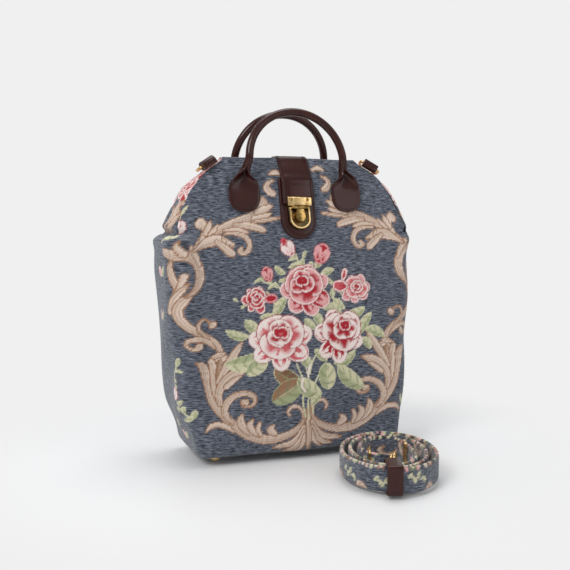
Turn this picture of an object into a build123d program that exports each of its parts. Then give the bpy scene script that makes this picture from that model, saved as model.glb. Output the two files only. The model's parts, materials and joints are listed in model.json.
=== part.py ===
from build123d import *
import math
import os

# Mini backpack of tapestry cloth, in millimetres.
# The origin is on the floor under the middle of the bag. The front faces -Y and +Z is up.

# The bag's outer skin as level sections: height, width, depth, bulge of front and sides, corner
foot_height = 5.0
base_cloth = 3.0
shoulder_height = 238.0
ridge_height = 320.0
side_sections = [
    (foot_height + base_cloth, 233.0, 98.0, 2.0, 1.0, 9.0),
    (60.0, 248.0, 93.0, 3.0, 3.0, 14.0),
    (140.0, 262.0, 81.0, 4.5, 4.0, 18.0),
    (200.0, 270.0, 70.0, 4.5, 3.0, 14.0),
    (shoulder_height, 271.0, 59.0, 4.5, 1.0, 6.0),
]
top_sections = [
    (shoulder_height, 271.0, 59.0, 4.5, 1.0, 0.0),
    (258.0, 257.0, 47.0, 5.66, -1.0, 0.0),
    (282.0, 236.0, 35.0, 5.84, -1.5, 0.0),
    (302.0, 206.0, 25.5, 5.75, -1.0, 0.0),
    (314.0, 170.0, 18.0, 3.5, -0.5, 0.0),
    (ridge_height, 148.0, 11.0, 1.5, 0.0, 0.0),
]
cloth = 3.0
mouth_gap = 0.4

# Lining and base board
lining_thickness = 0.8
lining_stand_off = 2.2
lining_top = 236.0
board_thickness = 2.5
board_inset = 5.0

# Mouth frames of flat steel
frame_thickness = 1.6
frame_width = 7.0
frame_gap = 1.0
frame_pin_radius = 2.2
frame_hole_play = 0.1
frame_pin_head = 1.0
frame_pin_place = (112.0, 252.0)
frame_bends = [(101.0, 284.0), (82.0, 302.0), (64.0, 310.5)]
frame_bend_radius = 9.0

# Feet
foot_radius = 6.0
foot_flat_radius = 3.0
foot_x = 96.0
foot_y = 34.0

# Leather
leather = 3.2
handle_tube_radius = 4.7
handle_spread = 59.0
handle_arch_radius = 54.0
handle_spring_height = 318.0
tab_height = 283.0
tab_width = 33.0
tab_length = 40.0
tab_seat = 0.5
handle_stand_off = 27.5
handle_top_y = 15.0
strap_width = 35.0
flap_hinge_y = 8.6
flap_hinge_z = 321.9
flap_end_height = 270.8
patch_width = 40.0
patch_bottom_height = 233.0
patch_top_height = 299.0

# Tuck lock
lock_height = 257.0
hasp_width = 27.0
hasp_height = 10.6
hasp_thickness = 2.2
hasp_crown = 0.5
receiver_width = 25.0
receiver_length = 25.2
receiver_thickness = 4.2
receiver_rim = 2.6
receiver_low = -15.0
slide_head_width = 19.6
slide_head_height = 3.0
slide_stem_width = 12.0

# Rings at the two top ends
ring_wire_radius = 1.5
ring_outline = [(-11.5, 0), (11.5, 0), (11.5, 7.0), (6.5, 16.5), (-6.5, 16.5), (-11.5, 7.0)]
ring_corner = 3.2
ring_tilt = 10.0
ring_share_up_seam = 0.62
loop_length = 17.0
loop_radius = 5.0
loop_play = 0.35

# Shoulder strap, wound up beside the bag
coil_centre = (53.0, -139.0)
coil_across = 54.0
coil_along = 76.0
coil_turn = -20.5
strap_height = 25.0
strap_turns = 3
strap_spacing = 9.0
keeper_width = 15.0
keeper_thickness = 1.8


def level_section(section, inset=0.0):
    """One level section of the bag's skin, as a face with rounded corners."""
    height, width, depth, front_bulge, side_bulge, corner = section
    x = width / 2 - inset
    y = depth / 2 - inset
    with BuildSketch(Plane.XY.offset(height)) as level:
        with BuildLine():
            ThreePointArc((-x, -y), (0, -y - front_bulge), (x, -y))
            Polyline((x, -y), (x + side_bulge, 0), (x, y))
            ThreePointArc((x, y), (0, y + front_bulge), (-x, y))
            Polyline((-x, y), (-x - side_bulge, 0), (-x, -y))
        make_face()
        corners = level.vertices().filter_by(lambda vertex: abs(vertex.Y) > 1)
        fillet(corners, max(corner - inset, 1.0))
    return level.sketch


def half_ring(section, side_y):
    """The front or back half of the skin's ring of cloth at one level."""
    height, width, depth, bulge, side_bulge, corner = section
    with BuildSketch(Plane.XY.offset(height)) as half:
        with BuildLine():
            ends = []
            for inset in (0.0, cloth):
                x = width / 2 - inset
                y = side_y * (depth / 2 - inset)
                middle_x = x + side_bulge
                middle_y = side_y * mouth_gap / 2
                r = max(corner - inset, 1.0)
                r_y = side_y * r
                cut = r * (1 - math.sqrt(0.5))
                cut_y = side_y * cut
                Line((-middle_x, middle_y), (-x, y - r_y))
                ThreePointArc((-x, y - r_y), (-x + cut, y - cut_y), (-x + r, y))
                ThreePointArc((-x + r, y), (0, y + side_y * bulge), (x - r, y))
                ThreePointArc((x - r, y), (x - cut, y - cut_y), (x, y - r_y))
                Line((x, y - r_y), (middle_x, middle_y))
                ends.append((middle_x, middle_y))
            for sign in (-1, 1):
                Line((sign * ends[0][0], ends[0][1]), (sign * ends[1][0], ends[1][1]))
        make_face()
    return half.sketch


def front_strip(section, side_y):
    """The cross-section of the front or back panel above the shoulder."""
    height, width, depth, bulge, _, _ = section
    x = width / 2
    y = side_y * depth / 2
    inner_y = side_y * (depth / 2 - cloth)
    bow = side_y * bulge
    with BuildSketch(Plane.XY.offset(height)) as strip:
        with BuildLine():
            ThreePointArc((-x, y), (0, y + bow), (x, y))
            Line((x, y), (x - cloth, inner_y))
            ThreePointArc((x - cloth, inner_y), (0, inner_y + bow), (-x + cloth, inner_y))
            Line((-x + cloth, inner_y), (-x, y))
        make_face()
    return strip.sketch


def side_strip(section, side_x):
    """The cross-section of an end insert, mitred against both panels."""
    height, width, depth, _, bulge, _ = section
    x = side_x * (width / 2)
    inner_x = side_x * (width / 2 - cloth)
    y = depth / 2 - 0.15
    inner_y = depth / 2 - cloth - 0.15
    bow = side_x * bulge
    with BuildSketch(Plane.XY.offset(height)) as strip:
        with BuildLine():
            if bulge == 0:
                Line((x, -y), (x, y))
            else:
                ThreePointArc((x, -y), (x + bow, 0), (x, y))
            Line((x, y), (inner_x, inner_y))
            if bulge == 0:
                Line((inner_x, inner_y), (inner_x, -inner_y))
            else:
                ThreePointArc((inner_x, inner_y), (inner_x + bow, 0), (inner_x, -inner_y))
            Line((inner_x, -inner_y), (x, -y))
        make_face()
    return strip.sketch


def between(height, column):
    """Reads one column of the section table at any height, in straight steps."""
    sections = side_sections if height < shoulder_height else top_sections
    for low, high in zip(sections, sections[1:]):
        if low[0] <= height <= high[0]:
            share = (height - low[0]) / (high[0] - low[0])
            return low[column] + share * (high[column] - low[column])
    return sections[-1][column]


def front_y(x, height):
    """The front skin's y at a place, from the bulge of its section."""
    half_width = between(height, 1) / 2
    bulge = between(height, 3)
    return -(between(height, 2) / 2 + bulge * (1 - (x / half_width) ** 2))


def front_plane(x, height):
    """A plane that touches the front skin, with its y axis up the skin."""
    step = 6.0
    low, high = front_y(x, height - step), front_y(x, height + step)
    left, right = front_y(x - step, height), front_y(x + step, height)
    up = Vector(0, high - low, 2 * step)
    across = Vector(2 * step, right - left, 0)
    return Plane(origin=(x, front_y(x, height), height), x_dir=across, z_dir=across.cross(up))


# Cloth panels: each wraps the front or back and half of both sides, and runs up to the ridge
def panel(side_y, name):
    """The front or back panel, with its top part seamed on at the shoulder."""
    with BuildPart() as half:
        loft([half_ring(section, side_y) for section in side_sections], ruled=True)
        loft([front_strip(section, side_y) for section in top_sections], ruled=True)
    half.part.label = name
    return half.part


def gusset(side_x, name):
    """The end insert that shows between the panels' slanted edges."""
    with BuildPart() as insert:
        loft([side_strip(section, side_x) for section in top_sections], ruled=True)
    insert.part.label = name
    return insert.part


front_panel = panel(-1, "front_panel")
back_panel = panel(1, "back_panel")
left_gusset = gusset(-1, "left_gusset")
right_gusset = gusset(1, "right_gusset")

# Bottom of the bag, its board and its lining
with BuildPart() as base_panel:
    extrude(level_section((foot_height,) + side_sections[0][1:]), amount=base_cloth)

with BuildPart() as base_board:
    extrude(level_section(side_sections[0], board_inset), amount=board_thickness)

lining_floor = foot_height + base_cloth + board_thickness + 0.2
lining_levels = [s for s in side_sections if lining_floor < s[0] < lining_top]


def section_at(height):
    """A level section read from the table at any height."""
    return (height,) + tuple(between(height, column) for column in range(1, 6))


def lining_body(inset, floor, top):
    """A tall solid that follows the skin at an inset."""
    levels = [section_at(floor)] + lining_levels + [section_at(top)]
    with BuildPart() as body:
        loft([level_section(level, inset) for level in levels], ruled=True)
    return body.part


lining_outside = cloth + lining_stand_off
with BuildPart() as lining:
    add(lining_body(lining_outside, lining_floor, lining_top))
    hollow = lining_body(
        lining_outside + lining_thickness, lining_floor + lining_thickness, lining_top + 1.0
    )
    add(hollow, mode=Mode.SUBTRACT)

# Feet, turned, with a flat that stands on the floor
feet = {}
for name, x, y in (
    ("front_left_foot", -foot_x, -foot_y),
    ("front_right_foot", foot_x, -foot_y),
    ("back_left_foot", -foot_x, foot_y),
    ("back_right_foot", foot_x, foot_y),
):
    with BuildPart() as foot:
        with BuildSketch(Plane.XZ) as foot_profile:
            with BuildLine():
                Line((0, 0), (foot_flat_radius, 0))
                ThreePointArc(
                    (foot_flat_radius, 0),
                    (foot_radius * 0.9, foot_height * 0.38),
                    (foot_radius, foot_height),
                )
                Line((foot_radius, foot_height), (0, foot_height))
                Line((0, foot_height), (0, 0))
            make_face()
        revolve(axis=Axis.Z)
    feet[name] = foot.part.moved(Location((x, y, 0)))
    feet[name].label = name


# Mouth frames: a flat bar bent to the outline of the bag's top
def mouth_frame(side_y, name):
    """One of the two flat steel bars that stiffen the mouth."""
    start_y = side_y * frame_gap / 2
    right_half = [frame_pin_place] + frame_bends
    left_half = [(-x, height) for x, height in right_half]
    pin_places = (right_half[0], left_half[0])
    with BuildPart() as bar:
        with BuildSketch(Plane.XZ.offset(-start_y)) as bar_outline:
            with BuildLine():
                FilletPolyline(*left_half, *reversed(right_half), radius=frame_bend_radius)
            trace(line_width=frame_width)
            with Locations(*pin_places):
                Circle(frame_width / 2)
            with Locations(*pin_places):
                Circle(frame_pin_radius + frame_hole_play, mode=Mode.SUBTRACT)
        extrude(amount=-side_y * frame_thickness)
    bar.part.label = name
    return bar.part


front_frame = mouth_frame(-1, "front_frame")
back_frame = mouth_frame(1, "back_frame")

frame_pins = {}
for name, side in (("left_frame_rivet", -1), ("right_frame_rivet", 1)):
    shank = frame_gap + 2 * frame_thickness
    with BuildPart() as rivet:
        with BuildSketch(Plane.XZ.offset(-shank / 2)):
            with Locations((side * frame_pin_place[0], frame_pin_place[1])):
                Circle(frame_pin_radius)
        extrude(amount=shank)
        for head_y in (shank / 2 + frame_pin_head / 2, -shank / 2 - frame_pin_head / 2):
            with Locations((side * frame_pin_place[0], head_y, frame_pin_place[1])):
                Cylinder(frame_pin_radius + 1.4, frame_pin_head, rotation=(90, 0, 0))
    rivet.part.label = name
    frame_pins[name] = rivet.part


def leather_handle(name, side_y):
    """A rolled handle: one arched tube that flattens into a stitched tab at each end."""
    arch_plane_base = (0, -handle_stand_off, handle_spring_height)
    lean = math.degrees(math.atan2(handle_stand_off - handle_top_y, handle_arch_radius))
    spread = handle_arch_radius
    tilted = Plane(
        origin=arch_plane_base,
        x_dir=(1, 0, 0),
        z_dir=(0, -math.cos(math.radians(lean)), math.sin(math.radians(lean))),
    )
    with BuildPart() as handle:
        with BuildLine(tilted) as arch:
            curve = CenterArc((0, 0), spread, 0, 180)
        with BuildSketch(Plane(origin=curve @ 0, z_dir=curve % 0)):
            Circle(handle_tube_radius)
        sweep(path=curve)
        for side in (-1, 1):
            tab_plane = front_plane(side * handle_spread, tab_height)
            neck_top = tilted.from_local_coords(Vector(side * spread, 0, 0))
            neck_bottom = tab_plane.from_local_coords(Vector(0, 8.0, 3.4))
            with BuildSketch(Plane(neck_top, x_dir=(1, 0, 0), z_dir=(0, 0, 1))):
                Circle(handle_tube_radius)
            neck_middle = neck_top * 0.45 + neck_bottom * 0.55
            with BuildSketch(Plane(neck_middle, x_dir=(1, 0, 0), z_dir=(0, 0.1, 1))):
                Ellipse(handle_tube_radius + 2.6, handle_tube_radius - 0.5)
            with BuildSketch(Plane(neck_bottom, x_dir=tab_plane.x_dir, z_dir=tab_plane.y_dir)):
                Ellipse(tab_width / 2 - 2.5, 3.3)
            loft()
            with BuildSketch(tab_plane.offset(tab_seat)):
                with BuildLine():
                    tip = (0, tab_length / 2)
                    left = (-tab_width / 2, -tab_length * 0.1)
                    right = (tab_width / 2, -tab_length * 0.1)
                    Spline(
                        tip,
                        left,
                        tangents=[(-0.5, -1), (0, -1)],
                    )
                    ThreePointArc(left, (0, -tab_length / 2), right)
                    Spline(
                        right,
                        tip,
                        tangents=[(0, 1), (-0.5, 1)],
                    )
                make_face()
            extrude(amount=leather)
    solid = handle.part if side_y < 0 else handle.part.rotate(Axis.Z, 180)
    solid.label = name
    return solid


front_handle = leather_handle("front_handle", -1)
back_handle = leather_handle("back_handle", 1)

# Closing flap: a strip that lies over the ridge and down the front, on the lock patch
sewn_gap = 0.1
lift = 0.4
top_slope = (front_y(0, 300) - front_y(0, 240)) / 60
lock_tilt = math.degrees(math.atan(top_slope))


def strip_y(height, below):
    """The y of a strip's middle where it lies over so much leather and air on the front."""
    return front_y(0, height) - below - leather / 2


over_patch = sewn_gap + leather + lift
flap_route = [
    (flap_hinge_y, flap_hinge_z),
    (-9.8, flap_hinge_z),
    (strip_y(309.0, 1.2), 309.0),
    (strip_y(300.0, over_patch + 0.3), 300.0),
    (strip_y(290, over_patch), 290.0),
    (strip_y(flap_end_height, over_patch), flap_end_height),
]
with BuildPart() as closure_flap:
    with BuildSketch(Plane.YZ.offset(-strap_width / 2)):
        with BuildLine():
            FilletPolyline(*flap_route, radius=[5, 8, 12, 20])
        trace(line_width=leather)
    extrude(amount=strap_width)
closure_flap.part.label = "closure_flap"

anchor_route = [
    (flap_hinge_y + 1.9, flap_hinge_z - 2.2),
    (-strip_y(312.0, sewn_gap + 0.6), 312.0),
    (-strip_y(302.0, sewn_gap + 0.3), 302.0),
    (-strip_y(288.0, sewn_gap + 0.2), 288.0),
]
with BuildPart() as flap_anchor:
    with BuildSketch(Plane.YZ.offset(-strap_width / 2)):
        with BuildLine():
            FilletPolyline(*anchor_route, radius=[10, 20])
        trace(line_width=leather)
    extrude(amount=strap_width)
flap_anchor.part.label = "flap_anchor"

# Lock patch: the stitched leather tongue behind the lock, round at the bottom
with BuildPart() as lock_patch:
    with BuildSketch(Plane.YZ.offset(-patch_width / 2)):
        with BuildLine():
            Polyline(
                (strip_y(patch_bottom_height, sewn_gap), patch_bottom_height),
                (strip_y(shoulder_height, sewn_gap), shoulder_height),
                (strip_y(patch_top_height, sewn_gap), patch_top_height),
            )
        trace(line_width=leather)
    extrude(amount=patch_width)
    with BuildSketch(Plane.XZ.offset(80)) as patch_outline:
        middle_height = (patch_bottom_height - 4 + patch_top_height + 4) / 2
        with Locations((0, middle_height)):
            Rectangle(patch_width, patch_top_height - patch_bottom_height + 8)
        fillet(patch_outline.vertices().group_by(Axis.Z)[0], patch_width * 0.42)
    extrude(amount=-80, mode=Mode.INTERSECT)
lock_patch.part.label = "lock_patch"

# Tuck lock, drawn on a plane that lies on the front skin, y up the skin and z outwards
lock_plane = Plane(
    origin=(0, front_y(0, lock_height), lock_height),
    x_dir=(1, 0, 0),
    z_dir=(0, -math.cos(math.radians(lock_tilt)), math.sin(math.radians(lock_tilt))),
)
patch_face = sewn_gap + leather + 0.05
flap_face = over_patch + leather + 0.05
flap_end = lock_plane.to_local_coords(Vector(*((0,) + flap_route[-1]))).Y
hasp_low = flap_end - hasp_thickness - 0.1

with BuildPart() as hasp_plate:
    with BuildSketch(Plane(lock_plane.origin, x_dir=lock_plane.y_dir, z_dir=(1, 0, 0))):
        back = over_patch - 0.25
        front = flap_face + hasp_thickness
        with BuildLine():
            Polyline(
                (hasp_low, back),
                (hasp_low, front - 0.6),
                (hasp_low + 0.6, front),
                (hasp_low + hasp_height - 2, front + hasp_crown),
                (hasp_low + hasp_height, flap_face),
                (flap_end - 0.05, flap_face),
                (flap_end - 0.05, back),
                close=True,
            )
        make_face()
    extrude(amount=hasp_width / 2, both=True)
hasp_plate.part.label = "hasp_plate"

rivet_places = [(-9.0, hasp_low + 6.4), (9.0, hasp_low + 6.4)]
rivet_foot = flap_face + hasp_thickness + hasp_crown + 0.05
with BuildPart() as hasp_rivets:
    with BuildSketch(lock_plane.offset(rivet_foot)):
        with Locations(rivet_places):
            Circle(1.7)
    extrude(amount=0.9, taper=25)
hasp_rivets.part.label = "hasp_rivets"

rim_face = patch_face + receiver_thickness
floor_face = patch_face + 1.6


def u_outline(inset):
    """The receiver's outline: square on top, round below."""
    x = receiver_width / 2 - inset
    top = receiver_low + receiver_length
    low = receiver_low + inset
    with BuildSketch() as outline:
        with BuildLine():
            Line((-x, top), (-x, low + x * 0.8))
            ThreePointArc((-x, low + x * 0.8), (0, low), (x, low + x * 0.8))
            Line((x, low + x * 0.8), (x, top))
            Line((x, top), (-x, top))
        make_face()
    return outline.sketch


with BuildPart() as lock_receiver:
    with BuildSketch(lock_plane.offset(patch_face)):
        add(u_outline(0))
    extrude(amount=receiver_thickness, taper=12)
    with BuildSketch(lock_plane.offset(floor_face)):
        add(u_outline(receiver_rim))
    extrude(amount=receiver_thickness, mode=Mode.SUBTRACT)
lock_receiver.part.label = "lock_receiver"

# Thumb slide: a T head over a round-ended stem that runs down in the receiver
slide_face = floor_face + 0.2
head_top = hasp_low - 0.5
head_low = head_top - slide_head_height
stem_half = slide_stem_width / 2
with BuildPart() as thumb_slide:
    with BuildSketch(lock_plane.offset(slide_face)) as stem:
        with BuildLine():
            Line((-stem_half + 1.4, head_low + 0.5), (-stem_half, -1.5))
            ThreePointArc((-stem_half, -1.5), (0, -1.5 - stem_half), (stem_half, -1.5))
            Line((stem_half, -1.5), (stem_half - 1.4, head_low + 0.5))
            Line((stem_half - 1.4, head_low + 0.5), (-stem_half + 1.4, head_low + 0.5))
        make_face()
    extrude(amount=4.4, taper=10)
    with BuildSketch(lock_plane.offset(rim_face + 0.2)) as head:
        with Locations((0, (head_top + head_low) / 2)):
            RectangleRounded(slide_head_width, slide_head_height, 1.2)
    extrude(amount=2.4)
thumb_slide.part.label = "thumb_slide"

with BuildPart() as lock_back_plate:
    with BuildSketch(lock_plane.offset(-cloth - 0.15)):
        with Locations((0, -2)):
            RectangleRounded(22, 22, 3)
    extrude(amount=-1.0)
lock_back_plate.part.label = "lock_back_plate"


# Ring loops: a rolled leather loop on the seam, with a wire ring through it
def seam_point(side, section):
    """A point of the slanted seam between the front panel and an end insert."""
    return Vector(side * section[1] / 2, -section[2] / 2, section[0])


def ring_plane(side):
    """The plane of a ring: x up the seam, y over the end insert, z outwards."""
    low = seam_point(side, top_sections[3])
    high = seam_point(side, top_sections[4])
    along = (high - low).normalized()
    outward = Vector(side * 12, 0, 18).normalized()
    seat = low + (high - low) * ring_share_up_seam + Vector(0, 0.5, 0)
    middle = seat + outward * (loop_radius + 0.8)
    flat = Plane(origin=middle, x_dir=along, z_dir=outward - along * along.dot(outward))
    if flat.y_dir.Y < 0:
        flat = Plane(origin=middle, x_dir=along * -1, z_dir=flat.z_dir)
    return flat.rotated((-ring_tilt, 0, 0))


rings = {}
for side, word in ((-1, "left"), (1, "right")):
    plane = ring_plane(side)
    with BuildPart() as ring:
        with BuildLine(plane) as ring_path:
            FilletPolyline(*ring_outline, radius=ring_corner, close=True)
        start = ring_path.wire() @ 0
        with BuildSketch(Plane(origin=start, z_dir=ring_path.wire() % 0)):
            Circle(ring_wire_radius)
        sweep(path=ring_path.wire())
    rings[word + "_d_ring"] = ring.part
    with BuildPart() as loop:
        with BuildSketch(Plane(plane.origin, x_dir=plane.y_dir, z_dir=plane.x_dir)):
            Circle(loop_radius)
            with Locations((-loop_radius * 0.55, -loop_radius * 0.45)):
                Rectangle(loop_radius * 1.1, loop_radius * 1.1)
            Circle(ring_wire_radius + loop_play, mode=Mode.SUBTRACT)
        extrude(amount=loop_length / 2, both=True)
    rings[word + "_ring_loop"] = loop.part
for name, piece in rings.items():
    piece.label = name

# Shoulder strap: the wound coil, its leather keeper, its hooks and its slider
turn_angle = math.radians(coil_turn)
across_way = Vector(math.cos(turn_angle), math.sin(turn_angle), 0)
along_way = Vector(-math.sin(turn_angle), math.cos(turn_angle), 0)
coil_middle = Vector(coil_centre[0], coil_centre[1], 0)
coil_wall = strap_turns * strap_spacing
keeper_middle = coil_middle - along_way * (coil_along - coil_wall / 2)

with BuildPart() as strap_keeper:
    with BuildSketch(Plane(keeper_middle, x_dir=along_way, z_dir=across_way)):
        side_room = coil_wall / 2 + 0.4
        height = strap_height + 2 * keeper_thickness + 0.4
        with Locations((0, height / 2)):
            RectangleRounded(2 * side_room + 2 * keeper_thickness, height, 3.2)
            RectangleRounded(2 * side_room, height - 2 * keeper_thickness, 1.6, mode=Mode.SUBTRACT)
    extrude(amount=keeper_width / 2, both=True)
strap_keeper.part.label = "strap_keeper"

with BuildPart() as strap_coil:
    with BuildSketch():
        with Locations(Location((coil_centre[0], coil_centre[1], 0), (0, 0, coil_turn))):
            Ellipse(coil_across, coil_along)
            Ellipse(coil_across - coil_wall, coil_along - coil_wall, mode=Mode.SUBTRACT)
    extrude(amount=strap_height)
    add(strap_keeper.part, mode=Mode.SUBTRACT)
strap_coil.part.label = "strap_coil"


def snap_hook(word, across, along, turn):
    """A swivel snap hook that stands on edge in the coil: eye, hook body and trigger."""
    place = coil_middle + across_way * across + along_way * along
    heading = along_way * math.cos(math.radians(turn)) + across_way * math.sin(math.radians(turn))
    level = Vector(place.X, place.Y, strap_height / 2 + 1.6)
    plane = Plane(level, x_dir=heading, z_dir=heading.cross(Vector(0, 0, 1)))
    with BuildPart() as eye:
        with BuildLine(plane) as eye_path:
            eye_points = [(-20, -12), (-12, -12), (-12, 12), (-20, 12)]
            FilletPolyline(*eye_points, radius=2.6, close=True)
        with BuildSketch(Plane(origin=eye_path.wire() @ 0, z_dir=eye_path.wire() % 0)):
            Circle(1.4)
        sweep(path=eye_path.wire())
    with BuildPart() as hook:
        with BuildSketch(Plane(plane.origin - heading * 10.4, x_dir=plane.y_dir, z_dir=heading)):
            Circle(3.0)
        extrude(amount=7.0)
        with BuildSketch(Plane(plane.origin - heading * 4, x_dir=plane.y_dir, z_dir=heading)):
            Circle(1.8)
        extrude(amount=6.0)
        with BuildLine(plane):
            bow = CenterArc((8.5, 0), 7.0, 180, -285)
        with BuildSketch(Plane(origin=bow @ 0, z_dir=bow % 0)):
            Circle(1.8)
        sweep(path=bow)
    with BuildPart() as trigger:
        with BuildLine(plane) as trigger_path:
            Line((2.3, -3.2), (4.2, -4.7))
        with BuildSketch(Plane(origin=trigger_path.wire() @ 0, z_dir=trigger_path.wire() % 0)):
            Circle(1.1)
        sweep(path=trigger_path.wire())
    return {
        "strap_eye_" + word: eye.part,
        "strap_hook_" + word: hook.part,
        "strap_trigger_" + word: trigger.part,
    }


hardware = {}
hardware.update(snap_hook("one", -17.0, 4.0, 3.0))
hardware.update(snap_hook("two", 6.0, -12.0, 14.0))
slider_middle = coil_middle + across_way * 21.0 + along_way * 18.0 + Vector(0, 0, strap_height / 2 + 1.6)
slider_plane = Plane(slider_middle, x_dir=along_way, z_dir=across_way)
with BuildPart() as strap_slider:
    with BuildSketch(slider_plane.offset(-1)):
        RectangleRounded(18, 28, 3)
        with Locations((-4, 0), (4, 0)):
            Rectangle(4.4, 22.6, mode=Mode.SUBTRACT)
    extrude(amount=2.0)
hardware["strap_slider"] = strap_slider.part
for name, piece in hardware.items():
    piece.label = name

base_panel.part.label = "base_panel"
base_board.part.label = "base_board"
lining.part.label = "lining"
pieces = [
    front_panel,
    back_panel,
    left_gusset,
    right_gusset,
    base_panel.part,
    base_board.part,
    lining.part,
    front_frame,
    back_frame,
    front_handle,
    back_handle,
    closure_flap.part,
    flap_anchor.part,
    lock_patch.part,
    hasp_plate.part,
    hasp_rivets.part,
    lock_receiver.part,
    thumb_slide.part,
    lock_back_plate.part,
    strap_keeper.part,
    strap_coil.part,
]
for group in (feet, frame_pins, rings, hardware):
    pieces.extend(group.values())

os.makedirs("parts", exist_ok=True)
for piece in pieces:
    export_step(piece, "parts/" + piece.label + ".step")
    print(piece.label, round(piece.volume), "cubic mm")
for word, side in (("left", -1), ("right", 1)):
    place = ring_plane(side)
    print(word, "ring hinge at", place.origin, "along", place.x_dir, "outwards", place.z_dir)
print("lock slides down along", lock_plane.y_dir * -1, "tilt", lock_tilt)
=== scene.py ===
# %% [markdown]
# # A tapestry mini backpack
# This lesson dresses a small carpet-bag shaped backpack: woven rose cloth, rolled leather handles, a flap
# with a tuck lock, and its own shoulder strap wound up beside it. The solids of the bag are already there
# as a fixed frame, so every soft piece made here takes the place of the solid that it stands for.
# All sizes are in millimetres in the text and become metres when a mesh is made.

# %% Load the frame
import json
import math
import bpy
import numpy as np
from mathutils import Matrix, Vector


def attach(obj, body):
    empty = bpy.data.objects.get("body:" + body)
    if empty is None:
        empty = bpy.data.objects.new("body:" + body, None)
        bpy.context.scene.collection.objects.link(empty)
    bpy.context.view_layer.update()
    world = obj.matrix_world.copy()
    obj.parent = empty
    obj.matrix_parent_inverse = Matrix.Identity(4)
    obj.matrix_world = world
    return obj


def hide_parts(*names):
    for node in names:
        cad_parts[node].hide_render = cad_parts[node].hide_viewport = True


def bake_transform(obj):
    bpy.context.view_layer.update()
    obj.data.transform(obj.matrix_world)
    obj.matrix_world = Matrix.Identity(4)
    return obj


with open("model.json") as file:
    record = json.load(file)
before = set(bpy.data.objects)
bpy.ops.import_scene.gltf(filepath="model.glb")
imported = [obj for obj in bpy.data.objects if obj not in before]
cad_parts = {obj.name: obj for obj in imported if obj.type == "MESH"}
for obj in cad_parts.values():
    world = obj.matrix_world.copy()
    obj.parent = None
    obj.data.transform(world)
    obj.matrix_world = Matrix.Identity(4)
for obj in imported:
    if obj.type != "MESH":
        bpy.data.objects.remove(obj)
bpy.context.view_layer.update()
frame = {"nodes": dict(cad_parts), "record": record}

# %% [markdown]
# ## Camera, floor and light
# The camera stands a little to the left of the bag and looks slightly down, as in a plain product picture.
# The floor runs up into a wall in one soft curve, so there is no horizon behind the bag. A large lamp
# from the upper left does most of the work, and a weak one from the right keeps the dark leather readable.
# A single hard lamp would be simpler, but it would make the woven cloth look like plastic.

# %% Camera
mm = 0.001
camera_place = Vector((-0.3542, -0.9356, 0.2615))
camera_turn = math.radians(20.53)
camera_pitch = math.radians(4.59)
look = Vector((
    math.sin(camera_turn) * math.cos(camera_pitch),
    math.cos(camera_turn) * math.cos(camera_pitch),
    -math.sin(camera_pitch),
))
camera_data = bpy.data.cameras.new("camera")
camera_data.lens = 56.7
camera_data.sensor_width = 36.0
camera = bpy.data.objects.new("camera", camera_data)
camera.location = camera_place
camera.rotation_mode = "QUATERNION"
camera.rotation_quaternion = look.to_track_quat("-Z", "Y")
bpy.context.scene.collection.objects.link(camera)
bpy.context.scene.camera = camera
bpy.context.scene.view_settings.view_transform = "Standard"
print("camera at", tuple(camera.location))


# %% Small helpers for nodes and meshes
def new_material(name):
    """A material with nodes, and its node tree and surface shader."""
    material = bpy.data.materials.new(name)
    material.use_nodes = True
    return material, material.node_tree, material.node_tree.nodes["Principled BSDF"]


def add_node(tree, kind, **values):
    """A node with some of its inputs or settings filled in."""
    node = tree.nodes.new(kind)
    for key, value in values.items():
        if key in node.inputs:
            node.inputs[key].default_value = value
        else:
            setattr(node, key, value)
    return node


def join(tree, giver, result, taker, socket):
    """Joins a result of one node to a socket of another."""
    tree.links.new(giver.outputs[result], taker.inputs[socket])


def map_range(tree, onto, given=(0.0, 1.0), **values):
    """A node that turns one range of numbers into another."""
    node = add_node(tree, "ShaderNodeMapRange", **values)
    ends = (("From Min", given[0]), ("From Max", given[1]), ("To Min", onto[0]), ("To Max", onto[1]))
    for socket, value in ends:
        node.inputs[socket].default_value = value
    return node


def two_tones(tree, dark, light, ends=(0.0, 1.0)):
    """A colour ramp from a dark tone to a light one."""
    ramp = add_node(tree, "ShaderNodeValToRGB")
    for stop, tone, place in zip(ramp.color_ramp.elements, (dark, light), ends):
        stop.position, stop.color = place, (*tone, 1)
    return ramp


def srgb(red, green, blue):
    """A colour as it looks on a screen, 0 to 255, turned into the linear numbers that shaders use."""
    values = np.array([red, green, blue]) / 255
    return np.where(values <= 0.04045, values / 12.92, ((values + 0.055) / 1.055) ** 2.4)


def grid_faces(rows, columns, round_way=False):
    """Four-sided faces between the points of a grid that is stored row by row."""
    last = columns if round_way else columns - 1
    row = np.arange(rows - 1)[:, None] * columns
    here = row + np.arange(last)[None, :]
    beside = row + (np.arange(last)[None, :] + 1) % columns
    return np.stack([here, beside, beside + columns, here + columns], -1).reshape(-1, 4)


def new_piece(name, points, faces, material):
    """A smooth mesh object from points in millimetres."""
    mesh = bpy.data.meshes.new(name)
    mesh.from_pydata((np.asarray(points, float) * mm).tolist(), [], [list(face) for face in faces])
    mesh.polygons.foreach_set("use_smooth", np.ones(len(mesh.polygons), bool))
    mesh.materials.append(material)
    piece = bpy.data.objects.new(name, mesh)
    bpy.context.scene.collection.objects.link(piece)
    return piece


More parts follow.
